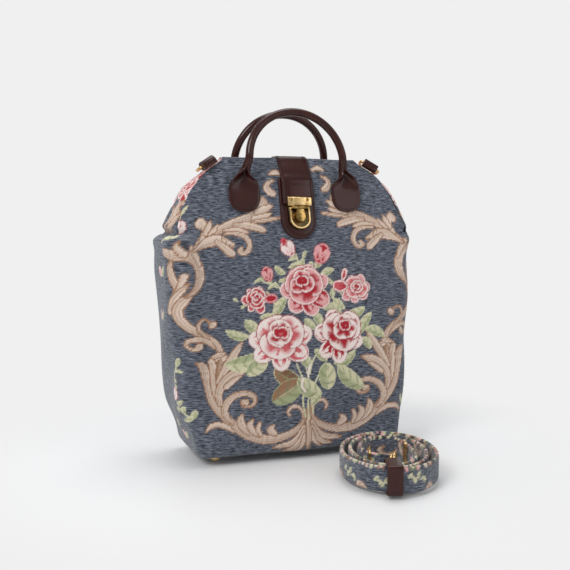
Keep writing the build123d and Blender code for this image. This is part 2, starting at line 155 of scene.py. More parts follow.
def smooth_line(points, steps=8):
    """A smooth line through given points; extra columns such as a width are carried along."""
    given = np.array(points, float)
    padded = np.vstack([2 * given[0] - given[1], given, 2 * given[-1] - given[-2]])
    share = np.linspace(0, 1, steps, endpoint=False)[:, None]
    pieces = []
    for a, b, c, d in zip(padded, padded[1:], padded[2:], padded[3:]):
        pieces.append(0.5 * (
            2 * b + (c - a) * share + (2 * a - 5 * b + 4 * c - d) * share ** 2
            + (3 * b - a - 3 * c + d) * share ** 3
        ))
    pieces.append(given[-1:])
    return np.vstack(pieces)


def ease(value):
    """Clips to 0 to 1 and rounds off both ends."""
    value = np.clip(value, 0, 1)
    return value * value * (3 - 2 * value)


# %% Floor and backdrop
sweep_profile = smooth_line([(-1.6, 0.0), (0.9, 0.0), (1.35, 0.06), (1.6, 0.35), (1.66, 0.9), (1.66, 2.6)])
across = np.linspace(-3.0, 3.0, 13)
floor_points = [(x, y, z) for y, z in sweep_profile for x in across]
floor_material, floor_tree, floor_shader = new_material("pale_paper")
paper_noise = add_node(floor_tree, "ShaderNodeTexNoise", Scale=1.5, Detail=2.0)
paper_ramp = map_range(floor_tree, (0.47, 0.53))
join(floor_tree, paper_noise, "Fac", paper_ramp, "Value")
join(floor_tree, paper_ramp, "Result", floor_shader, "Roughness")
floor_shader.inputs["Base Color"].default_value = (0.785, 0.785, 0.785, 1)
floor_place = add_node(floor_tree, "ShaderNodeTexCoord")
floor_reach = add_node(floor_tree, "ShaderNodeVectorMath", operation="LENGTH")
join(floor_tree, floor_place, "Object", floor_reach, 0)
floor_far = add_node(floor_tree, "ShaderNodeMapRange", interpolation_type="SMOOTHSTEP")
floor_far.inputs["From Min"].default_value = 0.18
floor_far.inputs["From Max"].default_value = 0.42
join(floor_tree, floor_reach, "Value", floor_far, "Value")
seen = add_node(floor_tree, "ShaderNodeLightPath")
seen_far = add_node(floor_tree, "ShaderNodeMath", operation="MULTIPLY")
join(floor_tree, seen, "Is Camera Ray", seen_far, 0)
join(floor_tree, floor_far, "Result", seen_far, 1)
plain = add_node(floor_tree, "ShaderNodeEmission", Color=(0.871, 0.871, 0.871, 1))
floor_mix = add_node(floor_tree, "ShaderNodeMixShader")
floor_output = floor_tree.nodes["Material Output"]
join(floor_tree, seen_far, "Value", floor_mix, "Fac")
join(floor_tree, floor_shader, 0, floor_mix, 1)
join(floor_tree, plain, 0, floor_mix, 2)
join(floor_tree, floor_mix, 0, floor_output, "Surface")
floor_shader.inputs["Specular IOR Level"].default_value = 0.25
floor_mesh = bpy.data.meshes.new("floor")
floor_mesh.from_pydata(floor_points, [], grid_faces(len(sweep_profile), len(across)).tolist())
floor_mesh.polygons.foreach_set("use_smooth", np.ones(len(floor_mesh.polygons), bool))
floor_mesh.materials.append(floor_material)
floor = bpy.data.objects.new("floor", floor_mesh)
bpy.context.scene.collection.objects.link(floor)
print("floor with", len(floor_mesh.polygons), "faces")

# %% Lamps
world = bpy.context.scene.world or bpy.data.worlds.new("studio")
bpy.context.scene.world = world
world.use_nodes = True
world_light = world.node_tree.nodes["Background"]
world_light.inputs["Color"].default_value = (0.95, 0.97, 1.0, 1)
world_light.inputs["Strength"].default_value = 0.45
world_plain = add_node(world.node_tree, "ShaderNodeBackground", Color=(0.871, 0.871, 0.871, 1))
world_seen = add_node(world.node_tree, "ShaderNodeLightPath")
world_mix = add_node(world.node_tree, "ShaderNodeMixShader")
join(world.node_tree, world_seen, "Is Camera Ray", world_mix, "Fac")
join(world.node_tree, world_light, 0, world_mix, 1)
join(world.node_tree, world_plain, 0, world_mix, 2)
world.node_tree.links.new(world_mix.outputs[0], world.node_tree.nodes["World Output"].inputs["Surface"])


def soft_lamp(name, place, target, size, power):
    """A square soft box that points at a target."""
    data = bpy.data.lights.new(name, "AREA")
    data.shape = "SQUARE"
    data.size = size
    data.energy = power
    lamp = bpy.data.objects.new(name, data)
    lamp.location = place
    lamp.rotation_euler = (Vector(target) - Vector(place)).to_track_quat("-Z", "Y").to_euler()
    bpy.context.scene.collection.objects.link(lamp)
    return lamp


middle_of_bag = (0.0, 0.0, 0.17)
soft_lamp("key", (-1.9, -1.3, 2.0), middle_of_bag, 1.2, 42.0)
soft_lamp("fill", (1.5, -1.7, 1.0), middle_of_bag, 1.4, 8.0)
soft_lamp("top", (0.2, 0.3, 2.2), middle_of_bag, 1.4, 21.0)

# %% [markdown]
# ## What the cloth, leather and metal look like
# The cloth is a chenille tapestry: soft furry yarns that lie across the bag, in slate blue, with the
# flowers woven in flatter yarn. The colour of the flowers comes from each mesh, and the yarns from noise
# that is stretched along the yarn, in the cloth's own coordinates, so that they follow every bend.
# A plain colour with a bump would be quicker, but the yarn's light and dark flecks are half of its look.

# %% Tapestry cloth
def tapestry_material(name, yarn_length=6.5, yarn_width=1.15):
    """Chenille cloth: the mesh's own woven colour, with flecks that run along the yarn."""
    material, tree, shader = new_material(name)
    place = add_node(tree, "ShaderNodeUVMap", uv_map="cloth")
    stretch = add_node(tree, "ShaderNodeMapping", Scale=(1000 / yarn_length, 1000 / yarn_width, 1))
    join(tree, place, "UV", stretch, "Vector")
    flecks = add_node(tree, "ShaderNodeTexNoise", Scale=1.0, Detail=3.0, Roughness=0.62, Distortion=0.5)
    join(tree, stretch, "Vector", flecks, "Vector")
    fleck_light = add_node(tree, "ShaderNodeValToRGB")
    stops = fleck_light.color_ramp.elements
    stops[0].position, stops[0].color = 0.34, (0.13, 0.14, 0.17, 1)
    stops[1].position, stops[1].color = 0.68, (2.35, 2.3, 2.2, 1)
    middle = stops.new(0.5)
    middle.color = (0.88, 0.88, 0.90, 1)
    join(tree, flecks, "Fac", fleck_light, "Fac")

    ribs = add_node(tree, "ShaderNodeMapping", Scale=(900.0, 1300.0, 1))
    join(tree, place, "UV", ribs, "Vector")
    fine = add_node(tree, "ShaderNodeTexNoise", Scale=1.0, Detail=2.0, Roughness=0.5)
    join(tree, ribs, "Vector", fine, "Vector")
    fine_light = map_range(tree, (0.80, 1.14), (0.3, 0.7))
    join(tree, fine, "Fac", fine_light, "Value")

    woven = add_node(tree, "ShaderNodeAttribute", attribute_name="woven")
    colour = add_node(tree, "ShaderNodeAttribute", attribute_name="woven_colour")
    light = add_node(tree, "ShaderNodeMix", data_type="RGBA")
    join(tree, woven, "Fac", light, "Factor")
    join(tree, fleck_light, "Color", light, 6)
    join(tree, fine_light, "Result", light, 7)
    mixed = add_node(tree, "ShaderNodeMix", data_type="RGBA", blend_type="MULTIPLY")
    mixed.inputs["Factor"].default_value = 1.0
    join(tree, colour, "Color", mixed, 6)
    join(tree, light, 2, mixed, 7)
    join(tree, mixed, 2, shader, "Base Color")

    height = add_node(tree, "ShaderNodeMath", operation="ADD")
    join(tree, flecks, "Fac", height, 0)
    join(tree, fine, "Fac", height, 1)
    bump = add_node(tree, "ShaderNodeBump", Strength=0.75, Distance=0.0009)
    join(tree, height, "Value", bump, "Height")
    join(tree, bump, "Normal", shader, "Normal")
    shader.inputs["Roughness"].default_value = 0.92
    shader.inputs["Specular IOR Level"].default_value = 0.18
    shader.inputs["Sheen Weight"].default_value = 0.35
    shader.inputs["Sheen Roughness"].default_value = 0.45
    return material


tapestry = tapestry_material("tapestry_cloth")
print("cloth material with", len(tapestry.node_tree.nodes), "nodes")

# %% Leather, brass, steel, lining and thread
def leather_material(name, tone, roughness):
    """Smooth waxed leather with fine pores, faint cloudy tone and a thin polish."""
    material, tree, shader = new_material(name)
    place = add_node(tree, "ShaderNodeTexCoord")
    clouds = add_node(tree, "ShaderNodeTexNoise", Scale=45.0, Detail=5.0, Roughness=0.6)
    join(tree, place, "Object", clouds, "Vector")
    tones = two_tones(tree, tone * 0.72, tone * 1.35, (0.25, 0.8))
    join(tree, clouds, "Fac", tones, "Fac")
    join(tree, tones, "Color", shader, "Base Color")
    pores = add_node(tree, "ShaderNodeTexVoronoi", Scale=900.0, feature="SMOOTH_F1")
    join(tree, place, "Object", pores, "Vector")
    creases = add_node(tree, "ShaderNodeTexNoise", Scale=260.0, Detail=4.0)
    join(tree, place, "Object", creases, "Vector")
    height = add_node(tree, "ShaderNodeMath", operation="MULTIPLY_ADD")
    height.inputs[1].default_value = 0.5
    join(tree, pores, "Distance", height, 0)
    join(tree, creases, "Fac", height, 2)
    bump = add_node(tree, "ShaderNodeBump", Strength=0.22, Distance=0.0004)
    join(tree, height, "Value", bump, "Height")
    join(tree, bump, "Normal", shader, "Normal")
    polish = map_range(tree, (roughness - 0.07, roughness + 0.09))
    join(tree, clouds, "Fac", polish, "Value")
    join(tree, polish, "Result", shader, "Roughness")
    shader.inputs["Specular IOR Level"].default_value = 0.12
    shader.inputs["Coat Weight"].default_value = 0.42
    shader.inputs["Coat Roughness"].default_value = 0.17
    return material


def metal_material(name, tone, dark, roughness):
    """Worn metal: bright where it is rubbed and darker in soft patches."""
    material, tree, shader = new_material(name)
    place = add_node(tree, "ShaderNodeTexCoord")
    patches = add_node(tree, "ShaderNodeTexNoise", Scale=170.0, Detail=6.0, Roughness=0.62)
    join(tree, place, "Object", patches, "Vector")
    tones = two_tones(tree, dark, tone, (0.36, 0.62))
    join(tree, patches, "Fac", tones, "Fac")
    join(tree, tones, "Color", shader, "Base Color")
    rough = map_range(tree, (roughness + 0.12, roughness - 0.08))
    join(tree, patches, "Fac", rough, "Value")
    join(tree, rough, "Result", shader, "Roughness")
    bump = add_node(tree, "ShaderNodeBump", Strength=0.12, Distance=0.0002)
    join(tree, patches, "Fac", bump, "Height")
    join(tree, bump, "Normal", shader, "Normal")
    shader.inputs["Metallic"].default_value = 1.0
    return material


def plain_weave_material(name, tone):
    """Plain woven cloth or pressed board: fine crossing threads."""
    material, tree, shader = new_material(name)
    place = add_node(tree, "ShaderNodeTexCoord")
    threads = add_node(tree, "ShaderNodeTexNoise", Scale=700.0, Detail=2.0)
    join(tree, place, "Object", threads, "Vector")
    tones = two_tones(tree, tone * 0.7, tone * 1.25)
    join(tree, threads, "Fac", tones, "Fac")
    join(tree, tones, "Color", shader, "Base Color")
    bump = add_node(tree, "ShaderNodeBump", Strength=0.4, Distance=0.0004)
    join(tree, threads, "Fac", bump, "Height")
    join(tree, bump, "Normal", shader, "Normal")
    shader.inputs["Roughness"].default_value = 0.85
    return material


brown = leather_material("brown_leather", srgb(52, 20, 14), 0.34)
brass = metal_material("antique_brass", srgb(246, 216, 158), srgb(186, 148, 92), 0.24)
dark_brass = metal_material("dark_brass", srgb(196, 160, 98), srgb(96, 72, 38), 0.22)
steel = metal_material("zinc_steel", srgb(180, 182, 184), srgb(120, 122, 126), 0.38)
lining_cloth = plain_weave_material("lining_weave", srgb(70, 62, 58))
board = plain_weave_material("fibre_board", srgb(120, 104, 84))
dark_thread = plain_weave_material("dark_thread", srgb(28, 15, 13))

node_materials = {"tapestry": tapestry, "tapestry_strap": tapestry, "lining_cloth": lining_cloth,
                  "board": board, "brown_leather": brown, "antique_brass": brass, "steel": steel}
for part in frame["record"]["subparts"]:
    node = frame["nodes"][part["node"]]
    node.data.materials.clear()
    node.data.materials.append(node_materials[part["material_slot"]])
frame["nodes"]["thumb_slide"].data.materials[0] = dark_brass
frame["nodes"]["hasp_rivets"].data.materials[0] = dark_brass


def receiver_material(node):
    """Bright brass on the raised rims of the lock, with painted shade that turns its hollow nearly black, told
    apart by depth.
    """
    material = metal_material("lock_brass_painted_shade", srgb(246, 216, 158), srgb(206, 168, 104), 0.24)
    tree = material.node_tree
    shader = tree.nodes["Principled BSDF"]
    tones = shader.inputs["Base Color"].links[0].from_socket
    place = add_node(tree, "ShaderNodeTexCoord")
    depth = add_node(tree, "ShaderNodeVectorMath", operation="DOT_PRODUCT")
    depth.inputs[1].default_value = (0.0, -0.972, 0.235)
    join(tree, place, "Object", depth, 0)
    points = np.array([v.co for v in node.data.vertices])
    reach = points @ np.array([0.0, -0.972, 0.235])
    raised = add_node(tree, "ShaderNodeMapRange")
    raised.inputs["From Min"].default_value = reach.max() - 0.0030
    raised.inputs["From Max"].default_value = reach.max() - 0.0014
    join(tree, depth, "Value", raised, "Value")
    # Painted shade: faces 1.4 to 3 mm below the rim fade to nearly black brown, standing in for the shade
    # inside the hollow.
    mixed = add_node(tree, "ShaderNodeMix", data_type="RGBA")
    mixed.inputs[6].default_value = (*srgb(44, 34, 22), 1)
    join(tree, raised, "Result", mixed, "Factor")
    tree.links.new(tones, mixed.inputs[7])
    join(tree, mixed, 2, shader, "Base Color")
    print("lock depth", round((reach.max() - reach.min()) * 1000, 2), "mm")
    return material


frame["nodes"]["lock_receiver"].data.materials[0] = receiver_material(frame["nodes"]["lock_receiver"])
print("materials:", [m.name for m in bpy.data.materials])

# %% [markdown]
# ## Painting the woven pattern
# The pattern is the old rose-and-acanthus kind: a frame of cream scrolls round a bunch of roses. It is
# drawn as a weaver's design is: every leaf, petal and scroll is a brush stroke of changing width along a
# few given points, laid over the ground colour in order. The strokes colour the points of a fine
# mesh, so the pattern bends with the cloth and needs no picture. Pictures would be easier to draw but
# would tie the cloth to one flat size.

# %% Yarn colours
slate = srgb(89, 94, 105)
cream = srgb(202, 178, 160)
pale_cream = srgb(222, 202, 186)
tan = srgb(152, 112, 84)
dark_tan = srgb(122, 88, 66)
rose_red = srgb(172, 32, 46)
rose_mid = srgb(204, 92, 98)
rose_pink = srgb(226, 166, 166)
rose_pale = srgb(240, 224, 218)
sage = srgb(166, 172, 132)
pale_sage = srgb(212, 208, 172)
moss = srgb(118, 126, 92)
print("ground yarn", slate.round(3))


# %% Brush strokes
def start_cloth(u, v, ground=slate):
    """What is woven at each point of a piece of cloth: its place, its colour and whether it is a motif."""
    u, v = np.asarray(u, float).ravel(), np.asarray(v, float).ravel()
    return {"u": u, "v": v, "colour": np.tile(ground, (len(u), 1)), "woven": np.zeros(len(u))}


def lay(cloth, near, cover, colour):
    """Lays a colour over some points of the cloth, as far as it covers each."""
    cover = np.clip(cover, 0, 1)[:, None]
    cloth["colour"][near] = cloth["colour"][near] * (1 - cover) + colour * cover
    cloth["woven"][near] = np.maximum(cloth["woven"][near], cover[:, 0])


def follow(cloth, points):
    """For the points near a line: how far inside it they lie, across (-1 to 1) and along (0 to 1)."""
    line = smooth_line(points, 6)
    reach = line[:, 2].max() + 2.0
    u, v = cloth["u"], cloth["v"]
    near = np.where(
        (u > line[:, 0].min() - reach) & (u < line[:, 0].max() + reach)
        & (v > line[:, 1].min() - reach) & (v < line[:, 1].max() + reach)
    )[0]
    if not len(near):
        return None
    start, step = line[:-1], line[1:] - line[:-1]
    offset = np.stack([u[near], v[near]], 1)[:, None] - start[None, :, :2]
    length2 = np.maximum((step[:, :2] ** 2).sum(1), 1e-6)
    share = np.clip((offset * step[:, :2]).sum(2) / length2, 0, 1)
    gap = offset - share[..., None] * step[:, :2]
    distance = np.sqrt((gap ** 2).sum(2))
    half_width = start[:, 2] + share * step[:, 2]
    best = (distance - half_width).argmin(1)
    row = np.arange(len(near))
    side = np.sign(step[best, 0] * gap[row, best, 1] - step[best, 1] * gap[row, best, 0])
    half_width = half_width[row, best]
    inside = half_width - distance[row, best]
    across = side * distance[row, best] / np.maximum(half_width, 0.4)
    along = (best + share[row, best]) / len(step)
    return near, inside, across, along, half_width


def scroll(cloth, points, veins=(-0.3, 0.25), fill=cream, light=pale_cream, edge=tan, rim=0.9):
    """One cream acanthus stroke with a brown edge and brown veins."""
    found = follow(cloth, points)
    if found is None:
        return
    near, inside, across, along, half_width = found
    shade = ease(0.5 + 0.6 * across)[:, None]
    lay(cloth, near, inside / 0.7 + 0.5, fill * (1 - shade) + light * shade)
    for place in veins:
        line = 0.42 - np.abs(across - place) * half_width
        lay(cloth, near, 0.8 * (line / 0.6 + 0.3) * (inside > 0.4), edge)
    lay(cloth, near, (inside / 0.5 + 0.9) * (inside < rim), edge)


def leaf(cloth, base, tip, width, bend=0.0, fill=sage, light=pale_sage, vein=pale_sage, edge=None):
    """A pointed leaf from its base to its tip, light on one side of its middle vein."""
    base, tip = np.array(base, float), np.array(tip, float)
    way = tip - base
    beside = np.array([-way[1], way[0]]) * bend
    shape = [(0.0, 0.12), (0.22, 0.75), (0.48, 1.0), (0.76, 0.72), (1.0, 0.06)]
    points = []
    for share, fullness in shape:
        place = base + way * share + beside * math.sin(math.pi * share)
        points.append((place[0], place[1], fullness * width))
    found = follow(cloth, points)
    if found is None:
        return
    near, inside, across, along, half_width = found
    shade = ease(0.5 + 0.9 * across)[:, None]
    lay(cloth, near, inside / 0.7 + 0.5, fill * (1 - shade) + light * shade)
    ribs = np.sin(along * 26 + np.abs(across) * 5) > 0.55
    lay(cloth, near, 0.5 * ribs * (inside > 0.7), moss)
    lay(cloth, near, (0.5 - np.abs(across) * half_width) / 0.4 * (inside > 0.5), vein)
    lay(cloth, near, (inside / 0.5 + 0.9) * (inside < 0.55) * 0.8, light if edge is None else edge)


def stem(cloth, points, width=0.8, colour=sage):
    """A thin stem."""
    found = follow(cloth, [(x, y, width) for x, y in points])
    if found is not None:
        lay(cloth, found[0], found[1] / 0.6 + 0.5, colour)


def petal(cloth, centre, size, turn, inner, outer, edge=rose_pale, shadow=rose_red):
    """One petal: an egg shape that stands at an angle, darker at its foot, with a pale rolled rim."""
    away = np.array([math.cos(math.radians(turn)), math.sin(math.radians(turn))])
    start = np.array(centre) - away * size[1] * 0.35
    points = []
    for share, fullness in ((0.0, 0.62), (0.35, 1.0), (0.7, 0.9)):
        place = start + away * size[1] * share
        points.append((place[0], place[1], fullness * size[0] * 0.5))
    found = follow(cloth, points)
    if found is None:
        return
    near, inside, across, along, half_width = found
    lay(cloth, near, (inside + 1.0) / 0.7, shadow)
    shade = ease(along * 1.3 + (1 - inside / half_width) * 0.35)[:, None]
    lay(cloth, near, inside / 0.6 + 0.5, inner * (1 - shade) + outer * shade)
    streak = (np.sin(across * 9 + along * 4) > 0.62) * (inside > 1.6) * (along < 0.75)
    lay(cloth, near, 0.55 * streak, inner)
    lay(cloth, near, (inside / 0.5 + 0.7) * (inside < 1.35), edge)


def wrapped_petal(cloth, centre, away, start, span, wide, squash, inner, outer, edge, chance):
    """A petal that wraps round the heart: a curved stroke, red towards the heart, with a pale outer rim."""
    points = []
    for share, fullness in ((0.0, 0.3), (0.18, 0.85), (0.4, 1.0), (0.62, 1.02), (0.84, 0.8), (1.0, 0.28)):
        angle = math.radians(start + span * share)
        reach = away * chance.uniform(0.94, 1.07)
        points.append((centre[0] + reach * math.cos(angle), centre[1] + reach * squash * math.sin(angle),
                       max(fullness * wide * chance.uniform(0.88, 1.1), 0.35)))
    found = follow(cloth, points)
    if found is None:
        return
    near, inside, across, along, half_width = found
    lay(cloth, near, (inside + 0.9 + 0.028 * away) / 0.7, rose_red * 0.8)
    shade = ease(0.45 - 0.75 * across + 0.3 * np.sin(along * 15 + away))[:, None]
    lay(cloth, near, inside / 0.6 + 0.5, inner * (1 - shade) + outer * shade)
    dashes = (np.sin(along * span * away * 0.014) > 0.45) * (inside > 0.4)
    lay(cloth, near, 0.75 * dashes * (across > -0.25 + 0.3 * np.sin(along * 9)), inner)
    rim_line = (inside / 0.5 + 0.7) * (inside < 1.3) * (across < 0.1)
    lay(cloth, near, rim_line, edge)


def guard_petal(cloth, root, tip, width, inner, outer, edge):
    """An outer petal from its root to its tip: red at the root, feathered into the pale part."""
    root, tip = np.array(root, float), np.array(tip, float)
    points = []
    for share, fullness in ((0.0, 0.5), (0.3, 0.9), (0.58, 1.0), (0.8, 0.82), (1.0, 0.3)):
        place = root + (tip - root) * share
        points.append((place[0], place[1], fullness * width))
    found = follow(cloth, points)
    if found is None:
        return
    near, inside, across, along, half_width = found
    lay(cloth, near, (inside + 0.7) / 0.6, rose_red * 0.85)
    lay(cloth, near, inside / 0.6 + 0.5, outer)
    feather = 0.60 + 0.17 * np.sin(across * 8 + tip[0]) + 0.10 * np.sin(across * 21 + tip[1]) - along
    lay(cloth, near, feather / 0.08 * (inside > 0.3), inner)
    lay(cloth, near, (inside / 0.5 + 0.7) * (inside < 1.1), edge)


def rose(cloth, centre, radius, turn=0.0, squash=0.9, heart=rose_red, body=rose_mid, rim=rose_pink,
         edge=rose_pale, petals=6, shift=(0.05, 0.2)):
    """An open rose: feathered outer petals, then petals that wrap round its heart ring by ring."""
    chance = np.random.default_rng(int(radius * 10 + turn))
    centre, shift = np.array(centre, float), np.array(shift)
    rings = (
        (0.52, 0.30, 3, 47, body, rim), (0.31, 0.19, 3, 5, heart, rim), (0.16, 0.10, 2, 70, heart, body),
    )
    found = follow(cloth, [(*(centre - 0.01), 0.6 * radius), (*(centre + 0.01), 0.6 * radius)])
    if found is not None:
        lay(cloth, found[0], found[1] / 0.6 + 0.4, heart * 0.8)
    for k in range(petals + 1):
        angle = math.radians(turn + 360.0 * k / (petals + 1) + chance.uniform(-9, 9))
        away = np.array([math.cos(angle), squash * math.sin(angle)]) * radius
        guard_petal(cloth, centre + 0.25 * away, centre + chance.uniform(0.78, 0.98) * away,
                    radius * chance.uniform(0.25, 0.36), body, rim, edge)
    for away, wide, count, offset, inner, outer in rings:
        for k in range(count):
            middle = centre + (shift * (1 - away) + chance.uniform(-0.05, 0.05, 2)) * radius
            start = turn + offset + 360.0 * k / count + chance.uniform(-10, 10)
            span = 360.0 / count * chance.uniform(0.95, 1.25)
            wrapped_petal(cloth, middle, away * radius, start, span, wide * radius * 0.78, squash, inner, outer,
                          edge, chance)
    x, y = centre + shift * radius
    found = follow(cloth, [(x - 0.05 * radius, y, 0.07 * radius), (x + 0.05 * radius, y + 0.01, 0.06 * radius)])
    if found is not None:
        lay(cloth, found[0], found[1] / 0.6 + 0.4, heart)


def bud(cloth, centre, size, turn, body=rose_mid, pale=rose_pale):
    """A half-open bud: two side petals round a dark tip, in a small green cup."""
    x, y = centre
    away = np.array([math.cos(math.radians(turn)), math.sin(math.radians(turn))])
    foot = np.array(centre) - away * size * 0.75
    leaf(cloth, foot - away * size * 0.3, foot + away * size * 0.7, size * 0.3)
    petal(cloth, (x, y), (size * 1.15, size * 1.1), turn, rose_red, body, pale)
    for spread in (-34, 34):
        lean = math.radians(turn + 90 * np.sign(spread))
        place = (x + 0.3 * size * math.cos(lean), y + 0.3 * size * math.sin(lean))
        petal(cloth, place, (size * 0.62, size * 0.95), turn + spread * 0.4, body, pale, pale)


# %% The scroll frame, drawn once for the left half
def mirrored(points):
    """The same stroke in the right half of the design, which sits a little higher in the cloth."""
    return [(7.0 - x, y + 5.0 - 0.012 * x, width) for x, y, width in points]


def twice(cloth, points, veins=(-0.3, 0.25), **colours):
    """Draws a scroll stroke in the left half and its twin in the right half."""
    scroll(cloth, points, veins, **colours)
    scroll(cloth, mirrored(points), tuple(-vein for vein in veins), **colours)


def scroll_frame(cloth):
    """The cream frame round the roses, from the top curls down to the bundle at the foot."""
    twice(cloth, [(-134, 216, 1.0), (-137, 205, 2.8), (-135, 194, 3.6), (-131, 184, 3.2), (-133, 172, 3.0)])
    twice(cloth, [(-126, 196, 3.4), (-128, 189, 2.8), (-132, 181, 1.4)], ())
    twice(cloth, [(-123, 188, 1.2), (-128, 181, 3.2), (-134, 172, 3.6), (-137, 160, 3.4)], (0.0,))
    twice(cloth, [(-120, 178, 1.5), (-127, 170, 4.4), (-131, 161, 4.8), (-129, 152, 4.6), (-122, 143, 4.0),
                  (-112, 136, 3.6), (-101, 129, 3.8), (-94, 122, 3.6), (-92, 114, 2.8)], (-0.35, 0.3))
    twice(cloth, [(-99, 146, 3.6), (-102, 144, 2.6), (-104, 149, 1.4), (-109, 151, 1.6), (-114, 148, 2.0),
                  (-115, 141, 2.2), (-110, 136, 2.2), (-104, 131, 1.6)], (0.0,))
    twice(cloth, [(-114, 124, 3.8), (-117, 121, 2.8), (-122, 122, 1.8), (-125, 126, 2.0), (-122, 130, 2.6),
                  (-113, 131, 3.0), (-104, 127, 2.8), (-98, 121, 1.6)], (0.1,))
    twice(cloth, [(-141, 221, 4.4), (-133, 218, 5.6), (-124, 216, 5.0), (-116, 210, 5.4), (-112, 200, 5.4),
                  (-113, 190, 4.8), (-118, 181, 3.2), (-124, 175, 1.4)], (-0.4, 0.0, 0.4))
    twice(cloth, [(-130, 232, 0.6), (-131, 225, 2.6), (-127, 218, 3.4)], ())
    twice(cloth, [(-121, 224, 3.0), (-116, 216, 3.6), (-112, 207, 2.2)], ())
    twice(cloth, [(-119, 222, 1.8), (-111, 231, 3.0), (-102, 238, 3.6), (-90, 243, 4.2), (-77, 249, 4.8),
                  (-62, 254, 5.4), (-50, 258, 6.0), (-42, 263, 6.6), (-38, 271, 5.4), (-39, 277, 2.6)],
          (-0.45, -0.05, 0.35))
    twice(cloth, [(-46, 262, 4.0), (-36, 266, 4.2), (-29, 269, 1.6)], ())
    twice(cloth, [(-50, 256, 3.0), (-38, 258, 3.4), (-30, 261, 1.2)], ())
    twice(cloth, [(-52, 252, 2.0), (-36, 254, 2.4), (-22, 256, 1.8)], (0.0,))
    twice(cloth, [(-72, 249, 2.2), (-56, 248, 4.2), (-42, 244, 3.6), (-39, 242, 1.4)], (0.0,))
    twice(cloth, [(-84, 243, 1.6), (-70, 244, 3.2), (-58, 241, 1.8)], ())
    twice(cloth, [(-110, 249, 4.6), (-107, 253, 3.6), (-104, 247, 4.4), (-105, 240, 3.4), (-110, 232, 2.4)],
          ())
    twice(cloth, [(-97, 253, 1.0), (-100, 247, 3.4), (-104, 240, 3.2)], ())
    twice(cloth, [(-90, 249, 1.0), (-94, 244, 2.8), (-100, 239, 2.2)], ())
    twice(cloth, [(-118, 221, 1.4), (-108, 228, 4.0), (-98, 232, 6.0), (-88, 233, 5.4), (-80, 230, 3.6),
                  (-74, 228, 2.0)], (-0.35,))
    twice(cloth, [(-92, 231, 3.0), (-84, 225, 4.2), (-78, 220, 4.6), (-76, 218, 3.2)], (0.2,))
    twice(cloth, [(-86, 237, 1.0), (-84, 232, 2.4)], ())
    twice(cloth, [(-83, 240, 1.6), (-72, 240, 2.4), (-62, 237, 3.0), (-57, 230, 3.2), (-58, 223, 2.8),
                  (-63, 219, 2.6), (-68, 221, 2.8), (-66, 224, 2.4)], (0.15,))
    twice(cloth, [(-99, 107, 1.2), (-91, 110, 4.2), (-84, 111, 1.4)], (0.0,), fill=pale_cream)
    twice(cloth, [(-102, 111, 1.6), (-93, 114, 3.4), (-87, 115, 1.2)], (0.0,))
    twice(cloth, [(-117, 107, 1.0), (-111, 102, 4.4), (-108, 92, 5.0), (-106, 80, 4.4), (-103, 68, 4.2),
                  (-97, 58, 4.4), (-89, 49, 4.6), (-80, 40, 4.8), (-69, 31, 5.2), (-56, 25, 5.6),
                  (-41, 21, 5.0), (-24, 23, 4.2), (-10, 29, 3.6), (-2, 38, 2.4), (1, 50, 1.2)],
          (-0.45, 0.0, 0.45))
    twice(cloth, [(-102, 107, 4.0), (-100, 98, 4.4), (-100, 86, 4.2), (-98, 74, 4.0), (-94, 62, 2.4)],
          (0.0,))
    twice(cloth, [(-93, 106, 3.0), (-95, 94, 3.4), (-96, 82, 2.4)], (-0.4, 0.4), fill=tan, light=cream)
    twice(cloth, [(-68, 127, 0.8), (-73, 120, 3.4), (-80, 110, 4.6), (-88, 98, 4.4), (-95, 86, 3.2)],
          (0.2,))
    twice(cloth, [(-62, 98, 1.2), (-70, 96, 4.2), (-80, 92, 5.4), (-90, 84, 5.0), (-95, 73, 4.2),
                  (-94, 63, 3.0)], (-0.3, 0.3))
    twice(cloth, [(-70, 91, 1.0), (-78, 87, 3.0), (-87, 80, 3.2)], ())
    twice(cloth, [(-66, 63, 3.8), (-70, 63, 2.6), (-69, 59, 1.4), (-63, 58, 1.8), (-57, 61, 2.4),
                  (-57, 68, 3.0), (-65, 72, 3.0), (-76, 71, 3.4), (-85, 65, 4.0), (-89, 56, 4.0),
                  (-86, 47, 3.2), (-80, 41, 2.0)], (-0.35, 0.3))
    twice(cloth, [(-109, 35, 1.4), (-104, 40, 3.0), (-95, 41, 3.2), (-87, 38, 3.0), (-80, 33, 1.6)], ())
    twice(cloth, [(-69, 51, 0.8), (-72, 44, 4.2), (-69, 36, 4.4), (-62, 29, 2.6)], (0.1,))
    twice(cloth, [(-58, 44, 1.2), (-62, 38, 3.8), (-58, 31, 3.4), (-52, 26, 1.8)], ())
    twice(cloth, [(-51, 39, 2.6), (-53, 33, 3.0), (-50, 27, 2.4)], ())
    twice(cloth, [(-35, 36, 1.4), (-39, 31, 4.4), (-34, 27, 3.2)], ())
    twice(cloth, [(-17, 45, 1.6), (-19, 49, 2.0), (-15, 54, 2.2), (-8, 54, 2.2), (-3, 49, 1.8),
                  (-2, 42, 1.6)], ())
    twice(cloth, [(-36, 12, 1.4), (-27, 13, 3.0), (-16, 15, 3.6), (-7, 22, 3.6), (-1, 32, 2.8)], (0.0,))
    twice(cloth, [(-24, 7, 1.4), (-14, 9, 3.0), (-6, 16, 3.4), (-1, 27, 2.8)], (0.0,))
    twice(cloth, [(-11, 5, 1.4), (-4, 11, 2.8), (0, 22, 2.8)], ())
    scroll(cloth, [(4, 5, 1.6), (4, 18, 3.6), (4, 34, 3.2), (4, 52, 1.2)], (-0.5, 0.0, 0.5))
    twice(cloth, [(-26, 282, 3.2), (-30, 284, 4.2), (-33, 289, 3.6), (-30, 294, 2.4), (-25, 296, 1.6)],
          (0.1,))
    twice(cloth, [(-15, 303, 1.8), (-22, 305, 3.0), (-28, 303, 1.8)], ())


